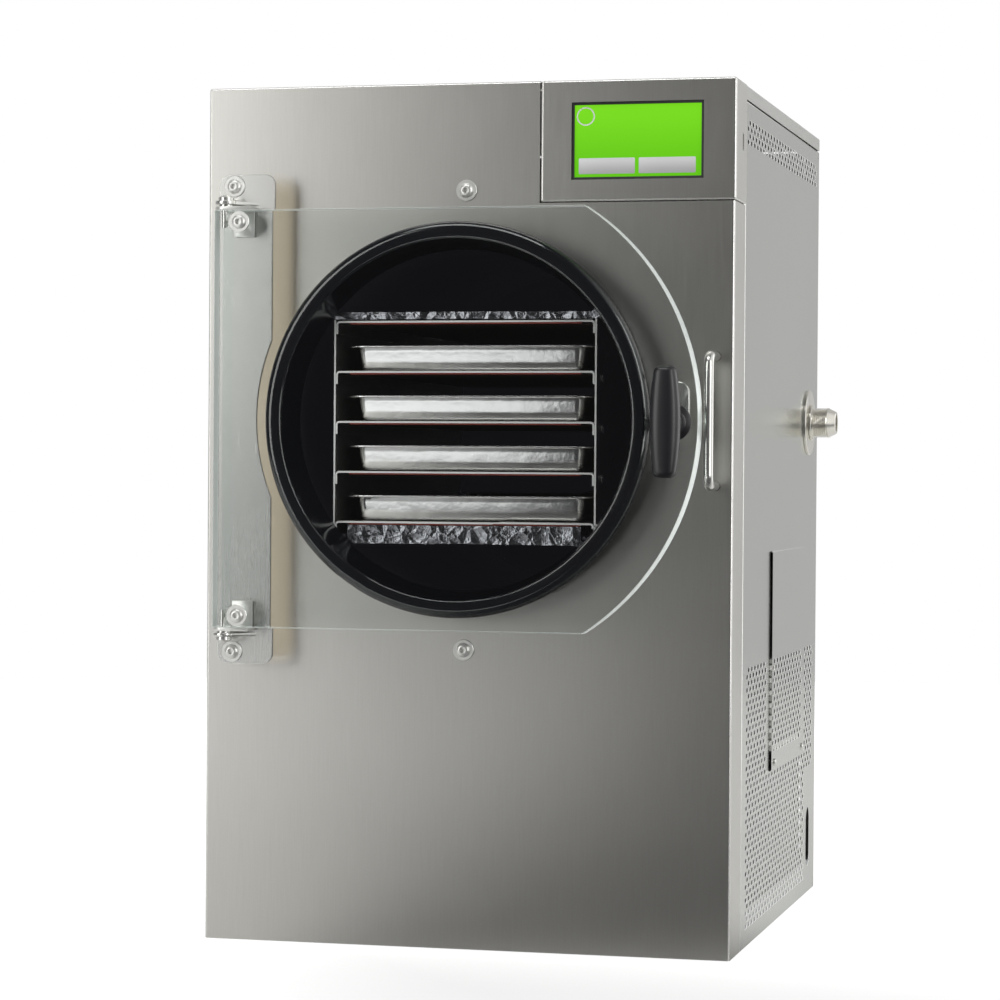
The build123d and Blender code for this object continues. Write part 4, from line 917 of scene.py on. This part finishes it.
# ---------------------------------------------------------------- hose port
def threaded_port():
    """Port whose barrel carries a rolled thread."""
    steps, levels, pitch = 48, 5, 1.8
    start, end = 5.4, 20.4
    barrel, thread_depth = 14.15, 1.15
    turns = int((end - start) / pitch * levels)
    flange = [(8.0, -20.0), (11.6, -20.0), (12.0, -19.6), (12.0, 3.2), (16.6, 3.2), (17.0, 3.6), (17.0, 5.0),
              (16.6, 5.4)]
    nose = [(13.6, 21.0), (10.6, 27.2), (10.0, 27.7), (8.4, 27.7), (8.0, 27.3)]
    columns = []
    for k in range(steps):
        angle = 2 * math.pi * k / steps
        thread = []
        for j in range(turns + 1):
            height = start + (end - start) * j / turns
            phase = (height / pitch + k / steps) % 1.0
            swell = 0.5 - 0.5 * math.cos(2 * math.pi * phase)
            fade = min(1.0, j / levels, (turns - j) / levels)
            thread.append((barrel - thread_depth * swell * fade, height))
        columns.append([(h, r * math.cos(angle), r * math.sin(angle)) for r, h in flange + thread + nose])
    mesh = lathe(columns)
    bmesh.ops.translate(mesh, vec=(cabinet_half, port_y, port_z), verts=mesh.verts)
    bmesh.ops.recalc_face_normals(mesh, faces=mesh.faces)
    return mesh


piece("threaded_hose_port", threaded_port(), "cabinet", nickel, ("vacuum_port",), 40.0)
disc = turned_body([(12.3, 0.0), (30.6, 0.0), (31.0, 0.4), (31.0, 2.0), (30.2, 2.9), (29.0, 3.0),
                    (12.3, 3.0)], 72)
disc.transform(Matrix.Translation((cabinet_half, port_y, port_z)) @ Matrix.Rotation(math.pi / 2, 4, "Y"))
piece("port_plate", disc, "cabinet", nickel, ("port_disc",), 40.0)


# ---------------------------------------------------------------- trays and pads
rack_front = cabinet_front + 2.0
rack_z = chamber_z - 0.8
shelf_step = 42.4
shelf_tops = [rack_z + shelf_step * (k - 2) for k in range(5)]


def tray_mesh(floor):
    """Pressed tray with a rolled rim, rounded corners and a soft floor edge."""
    top = floor + 22.0
    width, length = 217.6, 402.0
    middle = rack_front + 11.0 + length / 2
    outside = [(0.8, -2.2), (0.2, -1.7), (0.0, -0.9), (0.4, -0.2), (1.2, 0.0), (6.6, 0.0), (7.6, -0.3),
               (8.2, -1.2), (9.0, -6.0), (10.4, -14.0), (11.4, -18.5), (12.4, -20.6), (14.4, -21.7),
               (18.0, -22.0)]
    inside = [(18.0, -21.2), (14.8, -20.9), (13.2, -20.0), (12.3, -18.2), (11.2, -13.8), (9.8, -5.8),
              (9.0, -1.3), (8.2, -0.9), (1.6, -0.8), (1.2, -1.2), (1.4, -2.0)]
    rings = []
    for inset, drop in outside + inside:
        radius = max(4.0, 18.0 - inset)
        points = rounded_rectangle(width - 2 * inset, length - 2 * inset, radius, 8)
        rings.append([(x, middle + y, top + drop) for x, y in points])
    mesh = bmesh.new()
    loops = vertex_rings(mesh, rings)
    split = len(outside)
    join_rings(mesh, loops[:split])
    join_rings(mesh, loops[split:] + loops[:1])
    mesh.faces.new(loops[split - 1])
    mesh.faces.new(list(reversed(loops[split])))
    bmesh.ops.recalc_face_normals(mesh, faces=mesh.faces)
    return mesh


for number, shelf_top in enumerate(shelf_tops[:-1], start=1):
    piece(f"pressed_tray_{number}", tray_mesh(shelf_top + 0.2), "cabinet", tray_steel,
          (f"tray_{number}",), 50.0)


def crumpled_pad(half, bottom, top, shift):
    """Foil-wrapped pad on the rack, its skin creased by noise taken from a shifted place."""
    low = (-half, rack_front, bottom)
    high = (half, rack_front + 420.0, top)
    mesh = bmesh.new()
    size = [high[k] - low[k] for k in range(3)]
    counts = [max(1, round(size[0] / 3.0)), 60, max(2, round(size[2] / 2.0))]
    points = {}

    def at(i, j, k):
        if (i, j, k) not in points:
            spot = Vector((low[0] + size[0] * i / counts[0], low[1] + size[1] * (j / counts[1]) ** 1.6,
                           low[2] + size[2] * k / counts[2]))
            wave = (noise.noise_vector(spot / 9.0 + Vector((shift, 0, 0)))
                    + 0.6 * noise.noise_vector(spot / 3.5))
            spot += (Vector((0.2, 0.7, 0.6)) * wave.x if j
                     else Vector((0, 1.1 * abs(wave.y), 0.9 * wave.z)))
            for axis in range(3):
                spot[axis] = min(max(spot[axis], low[axis]), high[axis])
            points[i, j, k] = mesh.verts.new(spot)
        return points[i, j, k]

    nx, ny, nz = counts
    for i in range(nx):
        for j in range(ny):
            for k in (0, nz):
                mesh.faces.new((at(i, j, k), at(i + 1, j, k), at(i + 1, j + 1, k), at(i, j + 1, k)))
        for k in range(nz):
            for j in (0, ny):
                mesh.faces.new((at(i, j, k), at(i + 1, j, k), at(i + 1, j, k + 1), at(i, j, k + 1)))
    for j in range(ny):
        for k in range(nz):
            for i in (0, nx):
                mesh.faces.new((at(i, j, k), at(i, j + 1, k), at(i, j + 1, k + 1), at(i, j, k + 1)))
    bmesh.ops.recalc_face_normals(mesh, faces=mesh.faces)
    return mesh


noise.seed_set(7)  # without it the noise follows the clock, and each run gives other creases
pads = crumpled_pad(113.8, shelf_tops[-1] + 1.3, shelf_tops[-1] + 7.4, 3.0)
low_pad = crumpled_pad(101.4, shelf_tops[0] - 18.9, shelf_tops[0] - 3.1, 8.0)
take_in(pads, to_data(low_pad, "pad_work"))
piece("crinkled_pads", pads, "cabinet", foil, ("foil_pads",), 28.0)


# ---------------------------------------------------------------- touch screen picture
display_plane = cabinet_front + 3.4
window_x = 146.0


def screen_key_plate(name, x0, x1):
    """Thin plate on the display, one of its two keys."""
    mesh = sheet_with_holes(rounded_rectangle(x1 - x0, key_high - key_low, 1.0, 5), [], 0.12, 0.02)
    piece(name, facing_front(mesh, (x0 + x1) / 2, display_plane - 0.12, (key_low + key_high) / 2),
          "cabinet", screen_key)


screen_key_plate("left_key", window_x - 50.3, window_x - 2.6)
screen_key_plate("right_key", window_x + 0.7, window_x + 48.8)
mark_x, mark_z = 101.4, 700.1
badge = turned_body([(6.6, 0.0), (7.8, 0.0), (7.8, 0.1), (6.6, 0.1)], 48)
piece("round_mark", facing_front(badge, mark_x, display_plane - 0.1, mark_z), "cabinet",
      screen_mark)


# ---------------------------------------------------------------- studio
def look_from(place, yaw, pitch, roll):
    """Camera matrix for a place and angles in degrees."""
    yaw, pitch, roll = (math.radians(v) for v in (yaw, pitch, roll))
    ahead = Vector((-math.sin(yaw) * math.cos(pitch), math.cos(yaw) * math.cos(pitch), math.sin(pitch)))
    level = Vector((math.cos(yaw), math.sin(yaw), 0.0))
    above = level.cross(ahead)
    right = math.cos(roll) * level + math.sin(roll) * above
    up = -math.sin(roll) * level + math.cos(roll) * above
    turn = Matrix((right, up, -ahead)).transposed().to_4x4()
    return Matrix.Translation(place) @ turn


focal_pixels, picture_pixels = 3110.4, 1000.0
lens = bpy.data.cameras.new("camera")
lens.sensor_width = 36.0
lens.lens = focal_pixels / picture_pixels * lens.sensor_width
lens.clip_start = 0.05
camera = add_object("camera", lens)
camera.matrix_world = look_from((0.65845, -2.78117, 0.40433), 13.899, -0.549, 0.405)
bpy.context.scene.camera = camera


def lamp(name, place, target, width, height, power, colour=(1.0, 1.0, 1.0)):
    """Soft rectangular lamp aimed at a point."""
    light = bpy.data.lights.new(name, "AREA")
    light.shape = "RECTANGLE"
    light.size = width
    light.size_y = height
    light.energy = power
    light.color = colour
    item = add_object(name, light)
    item.location = place
    item.rotation_euler = (Vector(target) - Vector(place)).to_track_quat("-Z", "Y").to_euler()


lamp("left_low", (-2.43, -2.85, 0.225), (-2.43, 0.0, 0.225), 2.05, 0.45, 8.0)
lamp("left_window", (-2.27, -2.85, 1.475), (-2.27, 0.0, 1.475), 2.26, 2.05, 37.0, (1.0, 0.995, 0.98))
lamp("overhead", (-0.3, -1.3, 2.5), (0.0, -0.1, 0.4), 1.6, 0.8, 14.0)
lamp("low_bounce", (-0.92, -1.62, 0.02), (-0.92, -1.62, 2.0), 1.6, 0.9, 5.3)
lamp("right_side", (2.3, 1.9, 0.8), (0.1, 0.0, 0.3), 1.8, 2.4, 14.0)
lamp("right_edge", (2.1, -1.6, 0.9), (0.2, -0.2, 0.45), 0.7, 2.4, 14.0)


def world_light():
    """Studio surroundings: white to the eye, pale behind and to the right, dark in front."""
    world = bpy.data.worlds.new("studio")
    bpy.context.scene.world = world
    world.use_nodes = True
    studio = Nodes(world.node_tree)
    studio.tree.nodes.clear()
    right, behind, _ = studio.axes("Generated")[1]
    level = behind.between(-0.35, 0.75, 0.045, 0.50).larger(right.between(0.30, 0.75, 0.045, 0.80))
    soft = studio.make("ShaderNodeBackground", {}, {0: (1.0, 0.995, 0.985), 1: level})
    white = studio.make("ShaderNodeBackground", {}, {0: (1.0, 1.0, 1.0), 1: 1.0})
    seen = studio.make("ShaderNodeLightPath").outputs["Is Camera Ray"]
    mix = studio.make("ShaderNodeMixShader", {}, {0: seen, 1: soft.outputs[0], 2: white.outputs[0]})
    studio.make("ShaderNodeOutputWorld", {}, {0: mix.outputs[0]})


world_light()


def studio_floor():
    """Pale floor that keeps the object's shadow and fades to white away from it."""
    radius, sink = 3.2, -0.0005
    mesh = bmesh.new()
    mesh.faces.new([mesh.verts.new((radius * math.cos(math.pi * k / 24), radius * math.sin(math.pi * k / 24),
                                    sink)) for k in range(48)])
    item = add_object("floor", to_data(mesh, "floor"))
    finish = Finish("pale_floor", Roughness=0.95, Emission_Strength=1.0)
    x, y, _ = finish.places()
    away = (((x * x) + (y * y)) ** 0.5).between(0.35, 1.1)
    glow = finish.blend(away, (0.80, 0.80, 0.80), (1.1, 1.1, 1.1))
    seen = finish.make("ShaderNodeLightPath").outputs["Is Camera Ray"]
    side = x - (y + 0.25) * 0.18
    pale = y.between(-0.5, 0.0).larger((1.0 - side.between(-0.40, 0.16)) * y.between(-2.1, -1.0))
    # Beside the cabinet, rays other than the camera's find some glow: bounced light on the low sheets.
    beside = (x.between(0.1, 0.3) * y.between(-0.3, 0.1)).larger(
        (1.0 - x.between(-0.38, -0.02)) * y.between(-1.0, -0.45) * 2.2)
    bounced = finish.blend(beside, (0.0, 0.0, 0.0), (0.26, 0.26, 0.25))
    finish.set(Base_Color=finish.blend(pale, (0.06, 0.06, 0.06), (0.80, 0.80, 0.80)),
               Emission_Color=finish.blend(seen, bounced, glow))
    item.data.materials.append(finish.material)


studio_floor()

bpy.context.scene.view_settings.view_transform = "Standard"
